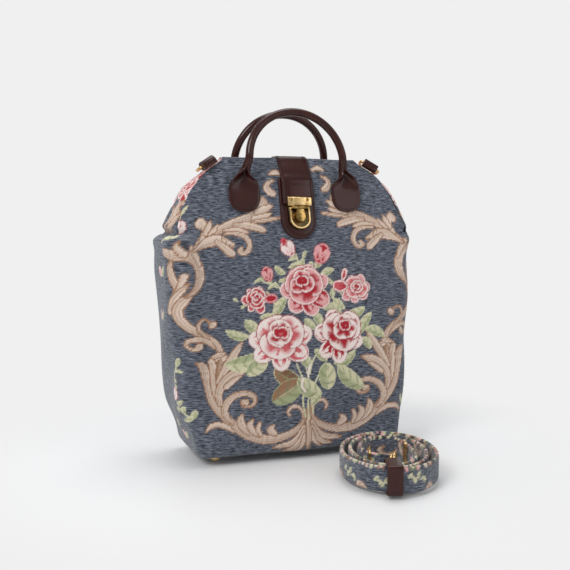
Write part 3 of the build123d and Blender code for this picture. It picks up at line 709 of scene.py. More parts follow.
def rose_bunch(cloth):
    """Leaves and stems first, then the five roses and their buds."""
    stems = [
        [(5, 40), (4, 58), (7, 72), (3, 96)], [(1, 42), (-2, 60), (0, 78), (-8, 100)],
        [(10, 45), (8, 64), (16, 84), (28, 98)], [(7, 88), (11, 102), (18, 112)],
        [(-30, 188), (-22, 178), (-14, 170)], [(-44, 189), (-34, 186), (-28, 182)],
        [(0, 200), (-3, 210), (-6, 218)], [(14, 198), (18, 206), (22, 212)], [(30, 188), (40, 180), (48, 172)],
        [(30, 158), (38, 164), (44, 168)], [(-30, 160), (-34, 172), (-40, 178)],
    ]
    for points in stems:
        stem(cloth, points, 0.9, pale_sage)
    leaves = [
        ((-14, 203), (4, 206), 2.6, 0.1), ((-29, 205), (-18, 197), 3.4, -0.1), ((-2, 203), (3, 212), 3.0, 0.0),
        ((10, 197), (13, 209), 3.2, 0.1), ((2, 213), (7, 221), 1.8, 0.0), ((-14, 211), (-4, 212), 1.6, 0.1),
        ((22, 192), (38, 200), 4.0, 0.1), ((24, 190), (37, 185), 2.4, 0.1), ((-26, 188), (-16, 192), 2.0, 0.0),
        ((-32, 152), (-18, 172), 5.4, 0.05), ((-48, 151), (-30, 152), 3.2, 0.05),
        ((-65, 148), (-50, 132), 6.0, 0.05), ((-86, 139), (-60, 132), 4.6, -0.1),
        ((-77, 172), (-72, 169), 1.4, 0.0), ((-69, 161), (-62, 165), 1.4, 0.1),
        ((-53, 188), (-40, 192), 2.0, 0.1), ((-38, 181), (-27, 186), 2.0, 0.1),
        ((37, 168), (50, 157), 4.0, 0.0), ((36, 180), (36, 168), 2.6, 0.0),
        ((25, 158), (46, 152), 5.0, 0.2), ((13, 156), (24, 138), 5.0, 0.0), ((3, 148), (15, 138), 4.6, -0.1),
        ((52, 150), (74, 158), 5.2, -0.1), ((66, 128), (82, 152), 5.2, 0.05), ((74, 134), (98, 124), 5.4, 0.1),
        ((70, 124), (80, 112), 4.6, 0.1), ((14, 114), (28, 101), 4.4, 0.0), ((36, 98), (62, 112), 5.2, -0.15),
        ((0, 110), (9, 97), 5.6, -0.1),
    ]
    for base, tip, width, bend in leaves:
        leaf(cloth, base, tip, width, bend)
    leaf(cloth, (-48, 112), (-88, 104), 8.5, 0.12)
    leaf(cloth, (-42, 104), (-64, 92), 8.0, -0.05)
    leaf(cloth, (-6, 84), (-33, 97), 9.0, 0.15, fill=dark_tan, light=tan, vein=sage, edge=pale_sage)
    leaf(cloth, (-4, 80), (-36, 62), 12.0, 0.02, fill=tan, light=sage)
    leaf(cloth, (-6, 84), (20, 66), 9.0, -0.1)
    leaf(cloth, (27, 97), (28, 72), 10.0, 0.0)
    leaf(cloth, (41, 95), (72, 70), 9.0, -0.08, fill=sage)
    leaf(cloth, (8, 54), (20, 66), 4.0, 0.1)
    stem(cloth, [(-1, 84), (-3, 76), (1, 70)], 1.2, rose_pale)
    stem(cloth, [(8, 98), (6, 92), (5, 86)], 1.2, rose_pale)

    rose(cloth, (-25, 124), 35, 15, 0.82, rose_red, rose_mid, rose_pale, petals=6, shift=(-0.05, 0.35))
    rose(cloth, (41, 126), 31, 40, 0.94, rose_red, rose_red, rose_pale, petals=5, shift=(0.35, 0.5))
    rose(cloth, (4, 178), 29, 25, 0.86, rose_red, rose_red, rose_pink, petals=6, shift=(-0.15, 0.45))
    rose(cloth, (-52, 170), 15.5, 60, 0.92, rose_red, rose_red, rose_mid, petals=5)
    rose(cloth, (64, 178), 18, 10, 0.86, rose_red, rose_mid, rose_pink, petals=6)
    petal(cloth, (-36, 171), (9, 10), 5, rose_red, rose_red, rose_pink)
    petal(cloth, (46, 182), (12, 12), 175, rose_red, rose_mid, rose_pale)
    petal(cloth, (50, 194), (6, 12), 75, rose_red, rose_mid, rose_pale)
    bud(cloth, (24, 216), 14, 65, rose_red, rose_pink)
    bud(cloth, (-13, 223), 11.5, 125, rose_pink, rose_pale)
    bud(cloth, (-38, 196), 9.5, 110, rose_red, rose_pink)
    petal(cloth, (-18, 231), (5, 4), 130, rose_red, rose_red, rose_mid)


def side_sprigs(cloth):
    """Small sprays of buds and leaves that run over the left and right edges of the front."""
    for flip in (1, -1):
        def at(x, y):
            return (flip * x, y)
        stem(cloth, [at(-133, 110), at(-135, 100), at(-139, 92), at(-138, 82)], 0.9, pale_sage)
        leaf(cloth, at(-134, 103), at(-131, 112), 2.6)
        leaf(cloth, at(-136, 98), at(-127, 98), 1.6)
        leaf(cloth, at(-139, 89), at(-133, 87), 1.4)
        bud(cloth, at(-138, 75), 9, 250, rose_pale, rose_pale)
        stem(cloth, [at(-136, 66), at(-131, 59), at(-125, 52), at(-121, 49)], 0.9, pale_sage)
        leaf(cloth, at(-134, 62), at(-128, 68), 2.2)
        leaf(cloth, at(-129, 55), at(-127, 62), 2.4)
        leaf(cloth, at(-121, 49), at(-118, 58), 2.6)
        leaf(cloth, at(-121, 49), at(-130, 46), 2.4)
        leaf(cloth, at(-138, 59), at(-133, 57), 2.2)
    stem(cloth, [(-135, 242), (-131, 250), (-128, 259), (-124, 265)], 0.7, pale_sage)
    bud(cloth, (-131, 246), 9, 45, rose_pale, rose_pale)
    leaf(cloth, (-129, 258), (-120, 269), 1.3)
    leaf(cloth, (-139, 234), (-131, 238), 1.4)
    leaf(cloth, (-137, 238), (-145, 230), 1.4)
    for place in ((-152, 196), (-158, 150), (-160, 34), (-146, 22), (148, 40), (152, 160)):
        leaf(cloth, place, (place[0] + 6, place[1] + 9), 3.0)
        petal(cloth, (place[0] - 4, place[1] + 4), (7, 7), 120, rose_mid, rose_pink)


def dress_mesh(piece, cloth):
    """Stores the woven colours and the cloth's own coordinates on a mesh."""
    mesh = piece.data
    colours = np.ones((len(mesh.vertices), 4), np.float32)
    colours[:, :3] = cloth["colour"]
    mesh.color_attributes.new("woven_colour", "FLOAT_COLOR", "POINT").data.foreach_set("color", colours.ravel())
    mesh.attributes.new("woven", "FLOAT", "POINT").data.foreach_set("value", cloth["woven"].astype(np.float32))
    place = np.stack([cloth["u"], cloth["v"]], 1) * mm
    corners = np.zeros(len(mesh.loops), np.int32)
    mesh.loops.foreach_get("vertex_index", corners)
    mesh.uv_layers.new(name="cloth").data.foreach_set("uv", place[corners].astype(np.float32).ravel())

# %% [markdown]
# ## The bag's soft skin
# The bag is one soft shell: level outlines of changing width, depth and roundness, joined from the base to
# the shoulder, and above it the front and back close in to the ridge with an insert at each end. Each
# panel is one fine grid, so that the pattern can be woven into its points. The skin is then pushed in and
# out a little: it sags over the base, gathers into a soft fold at each shoulder and dips under the
# handles. Five flat plates would be quicker, but cloth is never flat.

# %% Outlines of the skin
# height, half width, half depth, front bulge, side bulge, corner
skin_levels = np.array([
    (8, 116.5, 49.0, 2.0, 1.0, 10), (60, 124.0, 46.5, 3.0, 3.0, 14), (140, 131.0, 40.5, 4.5, 4.0, 18),
    (200, 135.0, 35.0, 4.5, 3.0, 15), (238, 135.5, 29.5, 4.5, 1.0, 7), (246, 133.0, 27.2, 5.0, 0.0, 1),
    (258, 128.5, 23.5, 5.7, -1.0, 1), (282, 118.0, 17.5, 5.8, -1.5, 1), (302, 103.0, 12.75, 5.75, -1.0, 1),
    (314, 85.0, 9.0, 3.5, -0.5, 1), (320, 74.0, 5.5, 1.5, 0.0, 1),
], float)
shoulder = 238.0
ridge = 320.0


def level(height, column):
    """Reads one column of the table at some heights, with the kinks between its rows rounded off."""
    total = 0
    for shift, share in ((-7, 0.15), (-3.5, 0.22), (0, 0.26), (3.5, 0.22), (7, 0.15)):
        at = np.clip(height + shift, 8, ridge)
        total = total + share * np.interp(at, skin_levels[:, 0], skin_levels[:, column])
    return total


def skin_at(x, height):
    """The y of the front skin at a place."""
    half_width = level(height, 1)
    return -(level(height, 2) + level(height, 3) * (1 - (x / half_width) ** 2))


def round_base(height):
    """How far the wall tucks in near the base, in a soft quarter turn."""
    low = np.clip((15 - height) / 10, 0, 1)
    return 7.0 * (1 - np.sqrt(1 - low ** 2))


def front_points(heights, places):
    """Front skin: places from -1 to 1 run from corner to corner along the outline."""
    inset = round_base(heights)[:, None]
    half_width, half_depth, bulge, _, corner = [level(heights, k)[:, None] for k in range(1, 6)]
    half_width, half_depth = half_width - inset, half_depth - inset
    straight = half_width - corner
    along = np.abs(places)[None, :] * (straight + corner * math.pi / 4)
    angle = np.clip((along - straight) / corner, 0, math.pi / 4)
    sign = np.sign(places)[None, :]
    x = np.where(along < straight, along, straight + corner * np.sin(angle))
    y = np.where(along < straight, half_depth, half_depth - corner * (1 - np.cos(angle)))
    y = y + bulge * (1 - np.clip(x / half_width, 0, 1) ** 2)
    z = np.repeat(heights[:, None], len(places), 1)
    return np.stack([sign * x, -y, z], -1), sign * along


def side_points(heights, places):
    """Front half of a side: places from 0 at the corner to 1 at the middle of the side."""
    inset = round_base(heights)[:, None]
    half_width, half_depth, bulge, side, corner = [level(heights, k)[:, None] for k in range(1, 6)]
    half_width, half_depth = half_width - inset, half_depth - inset
    rest = half_depth - corner
    along = places[None, :] * (rest + corner * math.pi / 4)
    angle = np.clip(math.pi / 4 + along / corner, 0, math.pi / 2)
    turning = angle < math.pi / 2
    x = np.where(turning, half_width - corner * (1 - np.sin(angle)), half_width)
    y = np.where(turning, rest + corner * np.cos(angle), rest - (along - corner * math.pi / 4))
    y = np.maximum(y, 0)
    corner_y = rest + corner * math.cos(math.pi / 4)
    x = x + side * (1 - np.clip(y / corner_y, 0, 1) ** 2)
    y = y + bulge * (1 - np.clip(x / half_width, 0, 1) ** 2)
    z = np.repeat(heights[:, None], len(places), 1)
    return np.stack([x, -y, z], -1), half_width - corner + corner * math.pi / 4 + along


def soft_form(points, strength=1.0):
    """How far the skin stands out at each point: broad waves, the shoulder folds and dips at the handles."""
    x, y, z = points[..., 0], points[..., 1], points[..., 2]
    waves = (0.55 * np.sin(x / 27 + z / 41 + 0.7) + 0.40 * np.sin(x / 15 - z / 23 + 2.1)
             + 0.30 * np.sin(z / 12 + y / 9 + x / 60 + 1.3) + 0.22 * np.sin(x / 8.5 + z / 31 + 0.2))
    out = waves * (0.35 + 0.65 * ease((z - 5) / 30))
    side = ease((np.abs(x) - 112) / 14)
    out += side * 1.1 * np.sin(z / 17 + y / 11 + 0.5) * ease((236 - z) / 30) * ease((z - 10) / 30)
    crease = (z - 239 - 0.16 * (np.abs(x) - 118))
    out -= 3.4 * np.exp(-(crease / 3.4) ** 2) * ease((np.abs(x) - 112) / 16)
    out += 1.6 * np.exp(-((crease + 11) / 7.0) ** 2) * ease((np.abs(x) - 104) / 16)
    for place in (-59, 59):
        away = np.hypot((x - place) / 24, (z - 258) / 9)
        out -= 0.9 * np.exp(-away ** 2) * (y < 60)
    full = ease((243 - z) / 12) * ease((z - 6) / 55)
    out += (9.0 * ease((-x - 104) / 26) + 1.0 * ease((x - 112) / 20)) * full
    return out * strength


def push(points, amount):
    """Moves a grid of points along its own normals."""
    down = np.gradient(points, axis=0)
    beside = np.gradient(points, axis=1)
    normal = np.cross(beside, down)
    normal /= np.maximum(np.linalg.norm(normal, axis=-1, keepdims=True), 1e-9)
    return points + normal * amount[..., None]


# %% The front panel and its two half sides
def panel_grid(step):
    """A panel's points in rows from the base to its rolled hem, with the cloth's coordinates."""
    heights = np.concatenate([[5.3, 5.6, 6.3, 7.4], np.arange(8.6, ridge + 0.1, step)])
    heights[-1] = ridge
    places = np.linspace(-1, 1, int(250 / step))
    inward = np.linspace(0, 1, int(50 / step))[1:]
    front, front_u = front_points(heights, places)
    side, side_u = side_points(heights, inward)
    left = side[:, ::-1] * np.array([-1, 1, 1])
    points = np.concatenate([left, front, side], 1)
    u = np.concatenate([-side_u[:, ::-1], front_u, side_u], 1)
    v = points[..., 2].copy()
    columns = (len(inward), len(inward) + len(places))
    return points, u, v, columns, heights


def hem_rows(top):
    """The turned-in hem over the ridge: a few more rows that roll over and down inside."""
    rows = []
    for back, up in ((0.5, 0.7), (1.3, 1.15), (2.2, 1.1), (2.9, 0.5), (3.2, -1.0), (3.3, -5.0)):
        row = top.copy()
        row[:, 1] += back
        row[:, 2] += up
        rows.append(row)
    return np.array(rows)


def make_panel(name, node, step, design, turned=False):
    """One bag panel: skin with its soft form, woven design, and hem."""
    points, u, v, (first, last), heights = panel_grid(step)
    relief_cloth = start_cloth(u, v)
    for draw in design:
        draw(relief_cloth)
    stand_out = 0.35 * relief_cloth["woven"].reshape(u.shape)
    points = push(points, soft_form(points * (-1, -1, 1) if turned else points) + stand_out)
    rows, columns = u.shape
    hem = hem_rows(points[-1, first:last])
    faces = grid_faces(rows, columns)
    column = faces[:, 0] % columns
    row = faces[:, 0] // columns
    on_front = (column >= first) & (column < last - 1)
    below = heights[row + 1] <= shoulder + 0.6
    faces = faces[on_front | below]
    whole = points.reshape(-1, 3)
    hem_faces = grid_faces(len(hem) + 1, last - first)
    top_row = (rows - 1) * columns + np.arange(first, last)
    numbers = np.concatenate([top_row, len(whole) + np.arange(len(hem) * (last - first))])
    faces = np.concatenate([faces, numbers[hem_faces]])
    hem_u = np.tile(u[-1, first:last], len(hem))
    hem_v = np.repeat(ridge + 1.5 * np.arange(1, len(hem) + 1), last - first)
    whole = np.concatenate([whole, hem.reshape(-1, 3)])
    cloth = {
        "u": np.concatenate([u.ravel(), hem_u]), "v": np.concatenate([v.ravel(), hem_v]),
        "colour": np.concatenate([relief_cloth["colour"], np.tile(slate, (len(hem_u), 1))]),
        "woven": np.concatenate([relief_cloth["woven"], np.zeros(len(hem_u))]),
    }
    used = np.unique(faces)
    renumber = np.zeros(len(whole), int)
    renumber[used] = np.arange(len(used))
    whole, faces = whole[used], renumber[faces]
    cloth = {key: value[used] for key, value in cloth.items()}
    if turned:
        whole = whole * (-1, -1, 1)
    piece = new_piece(name, whole, faces, tapestry)
    dress_mesh(piece, cloth)
    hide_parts(node)
    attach(piece, "bag")
    print(name, len(faces), "faces")
    return piece


front_step = 1.15
back_step = 1.7
front_cloth = make_panel("front_cloth", "front_panel", front_step, [scroll_frame, rose_bunch, side_sprigs])
back_cloth = make_panel("back_cloth", "back_panel", back_step, [], turned=True)


# %% The end inserts, from the shoulder up to the ridge
def insert_design(cloth):
    """A cut from another part of the same cloth: roses near the ring and scroll leaves at the shoulder."""
    rose(cloth, (-2, 309), 15, 20, 0.9, rose_red, rose_red, rose_mid)
    rose(cloth, (-7, 289), 13, 70, 0.9, rose_red, rose_red, rose_pink)
    rose(cloth, (9, 296), 11, 10, 0.9, rose_red, rose_mid, rose_pale)
    petal(cloth, (-14, 300), (8, 10), 200, rose_red, rose_red, rose_pale)
    petal(cloth, (-15, 276), (8, 12), 250, rose_red, rose_red, rose_pale)
    petal(cloth, (2, 275), (7, 10), 280, rose_red, rose_pink, rose_pale)
    leaf(cloth, (8, 286), (16, 276), 3.0)
    scroll(cloth, [(-18, 274, 1.6), (-14, 267, 4.0), (-17, 259, 4.4), (-13, 252, 3.4)])
    scroll(cloth, [(-22, 262, 1.4), (-19, 254, 3.6), (-14, 246, 3.4), (-6, 242, 2.2)])
    scroll(cloth, [(-4, 268, 1.4), (-8, 260, 4.0), (-4, 251, 4.4), (4, 246, 3.4), (12, 242, 2.0)])
    scroll(cloth, [(14, 268, 1.2), (10, 259, 3.4), (14, 250, 3.6), (20, 243, 2.0)])


def make_insert(name, node, side):
    """An end insert: it bows in between the panels' edges and gathers a little near the shoulder."""
    heights = np.concatenate([np.arange(shoulder - 0.4, ridge, 1.2), [ridge]])
    places = np.linspace(-1, 1, 49)
    half_width, half_depth, bow = [level(heights, k)[:, None] for k in (1, 2, 4)]
    gather = ease((286 - heights[:, None]) / 40) * ease((heights[:, None] - 237) / 10)
    edge_dip = 0.7 * np.clip((np.abs(places)[None, :] - 0.86) / 0.14, 0, 1) ** 2
    fold = 1.3 * np.sin(places[None, :] * 7 + heights[:, None] / 7.0) * gather * (1 - places[None, :] ** 2)
    crease = np.exp(-((heights[:, None] - 241) / 3.5) ** 2) * 2.6 * (1 - 0.4 * places[None, :] ** 2)
    puff = 8.0 * (1 - places[None, :] ** 2) ** 0.7 * ease((306 - heights[:, None]) / 18)
    puff = puff * ease((heights[:, None] - 237) / 12)
    puff = puff + (9.0 if side < 0 else 1.0) * ease((243 - heights[:, None]) / 12)
    x = half_width + bow * (1 - places[None, :] ** 2) - edge_dip + fold - crease + puff
    y = places[None, :] * (half_depth - 0.1)
    z = np.repeat(heights[:, None], len(places), 1)
    points = np.stack([side * x, np.broadcast_to(y, x.shape), z], -1)
    cloth = start_cloth(np.broadcast_to(y, x.shape), z)
    insert_design(cloth)
    faces = grid_faces(len(heights), len(places))
    if side < 0:
        faces = faces[:, ::-1]
    piece = new_piece(name, points.reshape(-1, 3), faces, tapestry)
    dress_mesh(piece, cloth)
    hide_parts(node)
    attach(piece, "bag")
    return piece


left_end_cloth = make_insert("left_end_cloth", "left_gusset", -1)
right_end_cloth = make_insert("right_end_cloth", "right_gusset", 1)

# %% Base
rim_angle = np.linspace(0, 2 * math.pi, 160, endpoint=False)
base_rings = []
for share in (1.0, 0.97, 0.9, 0.75, 0.55, 0.35, 0.15, 0.02):
    corner_x = np.sign(np.cos(rim_angle)) * np.abs(np.cos(rim_angle)) ** 0.28 * 113.5
    corner_y = np.sign(np.sin(rim_angle)) * np.abs(np.sin(rim_angle)) ** 0.28 * 45.5
    sag = 0.35 * math.cos(share * math.pi / 2)
    height = np.full(len(rim_angle), 5.4 - sag + 0.5 * (share == 1.0))
    base_rings.append(np.stack([corner_x * share, corner_y * share, height], -1))
base_points = np.concatenate(base_rings)
base_cloth = new_piece("base_cloth", base_points, grid_faces(len(base_rings), len(rim_angle), True),
                       tapestry)
dress_mesh(base_cloth, start_cloth(base_points[:, 0], base_points[:, 1]))
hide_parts("base_panel")
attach(base_cloth, "bag")
print("base", len(base_cloth.data.polygons), "faces")

# %% [markdown]
# ## Rolled handles
# A rolled handle is one cut sheet of leather. It lies flat as a stitched tab on the bag, its two edges curl
# up and meet at the neck, and from there on it is a tube with a seam. So the shape is swept as a sheet
# whose curl grows from none to a full turn, which gives the two bright edges of the neck by itself. A
# plain round tube on a round tab would be simpler, but those edges are what makes it look sewn.

# %% Sheet sections
def curled_section(half_width, curl, thickness, count=11):
    """A thick sheet seen end-on, as (across, outwards) points; curl is its bend in turns, 0 to 1."""
    bend = max(curl, 0.004) * 2 * math.pi
    radius = 2 * half_width / bend
    across = np.linspace(-1, 1, count)
    angle = across * bend / 2
    middle = radius * (1 - math.sin(bend / 2) / (bend / 2))
    back = np.stack([(radius + thickness / 2) * np.sin(angle),
                     radius - (radius + thickness / 2) * np.cos(angle) - middle], -1)
    front = np.stack([(radius - thickness / 2) * np.sin(angle),
                      radius - (radius - thickness / 2) * np.cos(angle) - middle], -1)[::-1]

    def edge(a, b, angle_there):
        centre = (a + b) / 2
        out = np.array([math.cos(angle_there), math.sin(angle_there)]) * np.sign(angle_there)
        return [centre * 0.5 + a * 0.5 + out * thickness * 0.3, centre + out * thickness * 0.42,
                centre * 0.5 + b * 0.5 + out * thickness * 0.3]

    right = edge(back[-1], front[0], bend / 2)
    left = edge(front[-1], back[0], -bend / 2)
    return np.array([*back, *right, *front, *left])


def sweep_sections(centres, acrosses, outwards, sections):
    """Points of a swept piece, ring by ring."""
    rings = []
    for centre, across, outward, section in zip(centres, acrosses, outwards, sections):
        rings.append(centre + section[:, :1] * across + section[:, 1:] * outward)
    return np.array(rings)


def capped_faces(rings, around):
    """Side faces of a swept piece and a closing fan at each end."""
    faces = grid_faces(rings, around, True).tolist()
    faces.append(list(range(around))[::-1])
    faces.append([(rings - 1) * around + k for k in range(around)])
    return faces


# %% Stitches
def stitch_row(name, places, outwards, tone, body, size=(2.1, 0.42), pitch=3.3):
    """A row of short thread stitches along a line, each a small spindle that dips in at both ends."""
    places = np.array(places, float)
    outwards = np.array(outwards, float)
    steps = np.linalg.norm(np.diff(places, axis=0), axis=1)
    run = np.concatenate([[0], np.cumsum(steps)])
    points, faces = [], []
    profile = ((-0.5, 0.25, -0.28), (-0.36, 0.8, 0.05), (0.0, 1.0, 0.16), (0.36, 0.8, 0.05), (0.5, 0.25, -0.28))
    for at in np.arange(pitch / 2, run[-1], pitch):
        def read(table, where):
            return np.array([np.interp(where, run, table[:, k]) for k in range(3)])
        centre, outward = read(places, at), read(outwards, at)
        way = read(places, min(at + 0.5, run[-1])) - read(places, max(at - 0.5, 0))
        way /= np.linalg.norm(way)
        outward /= np.linalg.norm(outward)
        across = np.cross(way, outward)
        first = len(points)
        for along, full, lift in profile:
            for k in range(6):
                turn = k * math.pi / 3
                reach = size[1] * full
                points.append(centre + way * along * size[0] + outward * (lift + reach * math.sin(turn))
                              + across * reach * math.cos(turn))
        faces.extend((grid_faces(5, 6, True) + first).tolist())
        faces.append([first + k for k in range(6)][::-1])
        faces.append([first + 24 + k for k in range(6)])
    piece = new_piece(name, points, faces, tone)
    if body:
        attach(piece, body)
    return piece


# %% Both handles
handle_x = 59.0
tab_thickness = 2.6
arch_radius = 54.0
arch_foot_height = 318.0
arch_foot_y, arch_top_y = -27.5, -15.0
skin_out = np.array([0.0, -0.972, 0.235])
# height, lift from the skin, half width of the sheet, curl in turns, thickness
tab_shape = [
    (262.4, 1.5, 0.6, 0.0, 1.6), (263.2, 1.7, 6.0, 0.0, 2.2), (265.2, 1.8, 10.4, 0.0, 2.6),
    (269.5, 1.8, 14.2, 0.0, 2.6), (276.0, 1.8, 16.2, 0.0, 2.6), (283.0, 1.8, 16.4, 0.01, 2.6),
    (289.0, 1.9, 15.8, 0.06, 2.6), (294.5, 2.3, 14.6, 0.22, 2.5), (299.5, 3.4, 13.0, 0.46, 2.3),
    (304.5, 5.2, 11.9, 0.74, 2.1), (310.0, 8.2, 11.4, 0.93, 2.0),
]


def handle_line(side):
    """Half of a handle: its centre line from a tab's tip up to where the arch starts."""
    line = smooth_line(tab_shape, 5)
    x = handle_x - 5.0 * ease((line[:, 0] - 296) / 24)
    y = skin_at(x, line[:, 0]) - line[:, 1]
    return np.stack([side * x, y, line[:, 0]], -1), line[:, 2:]


def make_handle(name, node, turned):
    """One handle, from tab to tab, as a single curled sheet."""
    left, left_sheet = handle_line(-1)
    right, right_sheet = handle_line(1)
    lean = math.atan2(arch_top_y - arch_foot_y, arch_radius)
    angle = np.linspace(math.pi, 0, 61)
    arch = np.stack([
        arch_radius * np.cos(angle), arch_foot_y + arch_radius * np.sin(angle) * math.sin(lean),
        arch_foot_height + arch_radius * np.sin(angle) * math.cos(lean),
    ], -1)
    arch_sheet = np.tile([11.3, 0.985, 1.9], (len(arch), 1))
    centres = np.concatenate([left, arch, right[::-1]])
    sheet = np.concatenate([left_sheet, arch_sheet, right_sheet[::-1]])
    for _ in range(2):
        centres[1:-1] = 0.25 * centres[:-2] + 0.5 * centres[1:-1] + 0.25 * centres[2:]
        sheet[len(left) - 4:-len(left) + 4] = (
            0.25 * sheet[len(left) - 5:-len(left) + 3] + 0.5 * sheet[len(left) - 4:-len(left) + 4]
            + 0.25 * sheet[len(left) - 3:-len(left) + 5]
        )
    ways = np.gradient(centres, axis=0)
    ways /= np.linalg.norm(ways, axis=1, keepdims=True)
    front = np.array([0.0, -math.cos(lean), math.sin(lean)])
    mix = ease((centres[:, 2] - 285) / 30)[:, None]
    outwards = skin_out * (1 - mix) + front * mix
    outwards -= ways * (ways * outwards).sum(1, keepdims=True)
    outwards /= np.linalg.norm(outwards, axis=1, keepdims=True)
    acrosses = np.cross(outwards, ways)
    sections = [curled_section(*row) for row in sheet]
    rings = sweep_sections(centres, acrosses, outwards, sections)
    points = rings.reshape(-1, 3)
    if turned:
        points = points * (-1, -1, 1)
    faces = capped_faces(len(rings), rings.shape[1])
    handle = new_piece(name, points, faces, brown)
    rounded = handle.modifiers.new("round", "SUBSURF")
    rounded.levels = rounded.render_levels = 1
    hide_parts(node)
    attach(handle, "bag")
    for side, word in ((-1, "left"), (1, "right")):
        outline = [(12.9, 294.0), (13.6, 289.0), (13.9, 283.0), (13.6, 276.0), (11.4, 270.5), (7.6, 267.0),
                   (0.0, 265.4)]
        outline = outline + [(-w, h) for w, h in outline[-2::-1]]
        places = [(side * handle_x + w, skin_at(handle_x, h) - 1.8 - tab_thickness / 2 - 0.1, h)
                  for w, h in smooth_line([(*p, 0) for p in outline], 4)[:, :2]]
        places = np.array(places)
        outward = np.tile(skin_out, (len(places), 1))
        if turned:
            places, outward = places * (-1, -1, 1), outward * (-1, -1, 1)
        stitch_row(f"{name}_{word}_stitches", places, outward, dark_thread, "bag")
    print(name, len(faces), "faces")
    return handle


make_handle("front_rolled_handle", "front_handle", False)
make_handle("back_rolled_handle", "back_handle", True)

# %% [markdown]
# ## Flap, lock patch and lock
# The flap is one leather strap. Its back end is sewn to the bag, it lies over the ridge, and its front end
# carries the hasp. When the flap opens, the strap bends just behind the ridge; here the whole strap is one
# mesh, made in its closed place and joined to neither the bag nor the flap. Two stiff pieces with a gap
# between them would be easier to move, but leather does not part.

# %% The strap over the ridge
strap_half_width = 17.5
strap_thickness = 3.2


def strap_section(half_width, thickness, dent=2.7):
    """A flat strap seen end-on: rounded edges and a shallow groove where the stitches run."""
    top = thickness / 2
    half = [(half_width - 0.9, top), (half_width - dent + 0.7, top), (half_width - dent, top - 0.28),
            (half_width - dent - 0.7, top), (half_width * 0.45, top + 0.1), (0.0, top + 0.16)]
    edge = [(half_width - 0.7, -top), (half_width - 0.1, -top + 0.7), (half_width, 0.0),
            (half_width - 0.1, top - 0.6)]
    right = edge + half
    left = [(-x, y) for x, y in right[-2::-1]]
    return np.array(right + left + [(-half_width * 0.5, -top), (half_width * 0.5, -top)])


over_patch = 3.7
strap_line = smooth_line([
    (22.05, 287.5), (20.6, 294.0), (18.1, 303.0), (15.3, 311.0), (12.4, 317.4), (9.6, 320.9), (6.4, 322.0),
    (0.0, 322.0),
    (-6.0, 321.9), (-9.8, 320.4), (-13.2, 315.6), (-17.4, 309.4), (-21.2, 303.0),
    (skin_at(0, 297) - over_patch - 1.8, 297.0), (skin_at(0, 290) - over_patch - 1.6, 290.0),
    (skin_at(0, 280) - over_patch - 1.6, 280.0), (skin_at(0, 271) - over_patch - 1.6, 271.0),
], 6)
strap_centres = np.stack([np.zeros(len(strap_line)), strap_line[:, 0], strap_line[:, 1]], -1)
strap_ways = np.gradient(strap_centres, axis=0)
strap_ways /= np.linalg.norm(strap_ways, axis=1, keepdims=True)
strap_across = np.tile([1.0, 0.0, 0.0], (len(strap_centres), 1))
strap_out = np.cross(strap_ways, strap_across)
strap_out *= np.sign(strap_out[len(strap_out) // 2, 2])
strap_rings = sweep_sections(strap_centres, strap_across, strap_out,
                             [strap_section(strap_half_width, strap_thickness)] * len(strap_centres))
closing_strap = new_piece("closing_strap", strap_rings.reshape(-1, 3),
                          capped_faces(len(strap_rings), strap_rings.shape[1]), brown)
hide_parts("closure_flap", "flap_anchor")
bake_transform(closing_strap)

for side, word in ((-1, "left"), (1, "right")):
    line = (strap_centres + strap_out * (strap_thickness / 2 - 0.12)
            + strap_across * side * (strap_half_width - 2.7))
    row = stitch_row(f"closing_strap_{word}_stitches", line[4:-3], strap_out[4:-3], dark_thread,
                     None, (2.2, 0.4), 3.2)
    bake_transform(row)
cross_at = int(np.argmin(np.abs(strap_centres[:, 2] - 291.0) + 50 * (strap_centres[:, 1] > 0)))
cross_line = [strap_centres[cross_at] + strap_out[cross_at] * (strap_thickness / 2 - 0.02) + np.array([x, 0, 0])
              for x in np.linspace(-14.6, 14.6, 12)]
stitch_row("closing_strap_cross_stitches", cross_line, np.tile(strap_out[cross_at], (12, 1)), dark_thread,
           "flap", (2.2, 0.42), 3.2)
print("strap", len(closing_strap.data.polygons), "faces")

# %% The lock patch
patch_half_width = 20.0
patch_low, patch_high = 233.0, 299.0
patch_turn = patch_low + patch_half_width


def patch_point(at, inset, top, lift):
    """A point of the patch's outline, a U from -1 to 1, set in from the edge and lifted off the skin."""
    if abs(at) > 0.5:
        x = np.sign(at) * (patch_half_width - inset)
        height = patch_turn + (abs(at) - 0.5) / 0.5 * (top - patch_turn)
    else:
        x = (patch_half_width - inset) * math.sin(at * math.pi)
        height = patch_turn - (patch_half_width - inset) * math.cos(at * math.pi)
    return np.array([x, skin_at(0.0, height), height]) + skin_out * lift


patch_profile = ((0.0, 0.1), (-0.05, 1.2), (0.15, 2.6), (0.9, 3.25), (2.0, 3.3), (2.7, 3.0), (3.4, 3.3),
                 (7.0, 3.35), (12.0, 3.4))
patch_rows = [[patch_point(at, inset, patch_high - inset * 0.3, lift) for at in np.linspace(-1, 1, 61)]
              for inset, lift in patch_profile]
patch_faces = grid_faces(len(patch_rows), 61).tolist()
inner = (len(patch_rows) - 1) * 61
for k in range(30):
    patch_faces.append([inner + k, inner + k + 1, inner + 59 - k, inner + 60 - k])
patch = new_piece("lock_tongue", np.array(patch_rows).reshape(-1, 3), patch_faces, brown)
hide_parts("lock_patch")
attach(patch, "bag")
patch_stitches = [patch_point(at, 2.7, patch_high, 3.15) for at in np.linspace(-0.82, 0.82, 80)]
stitch_row("lock_tongue_outer_stitches", patch_stitches, np.tile(skin_out, (80, 1)), dark_thread,
           "bag", (2.1, 0.4), 3.1)
print("patch", len(patch_faces), "faces")

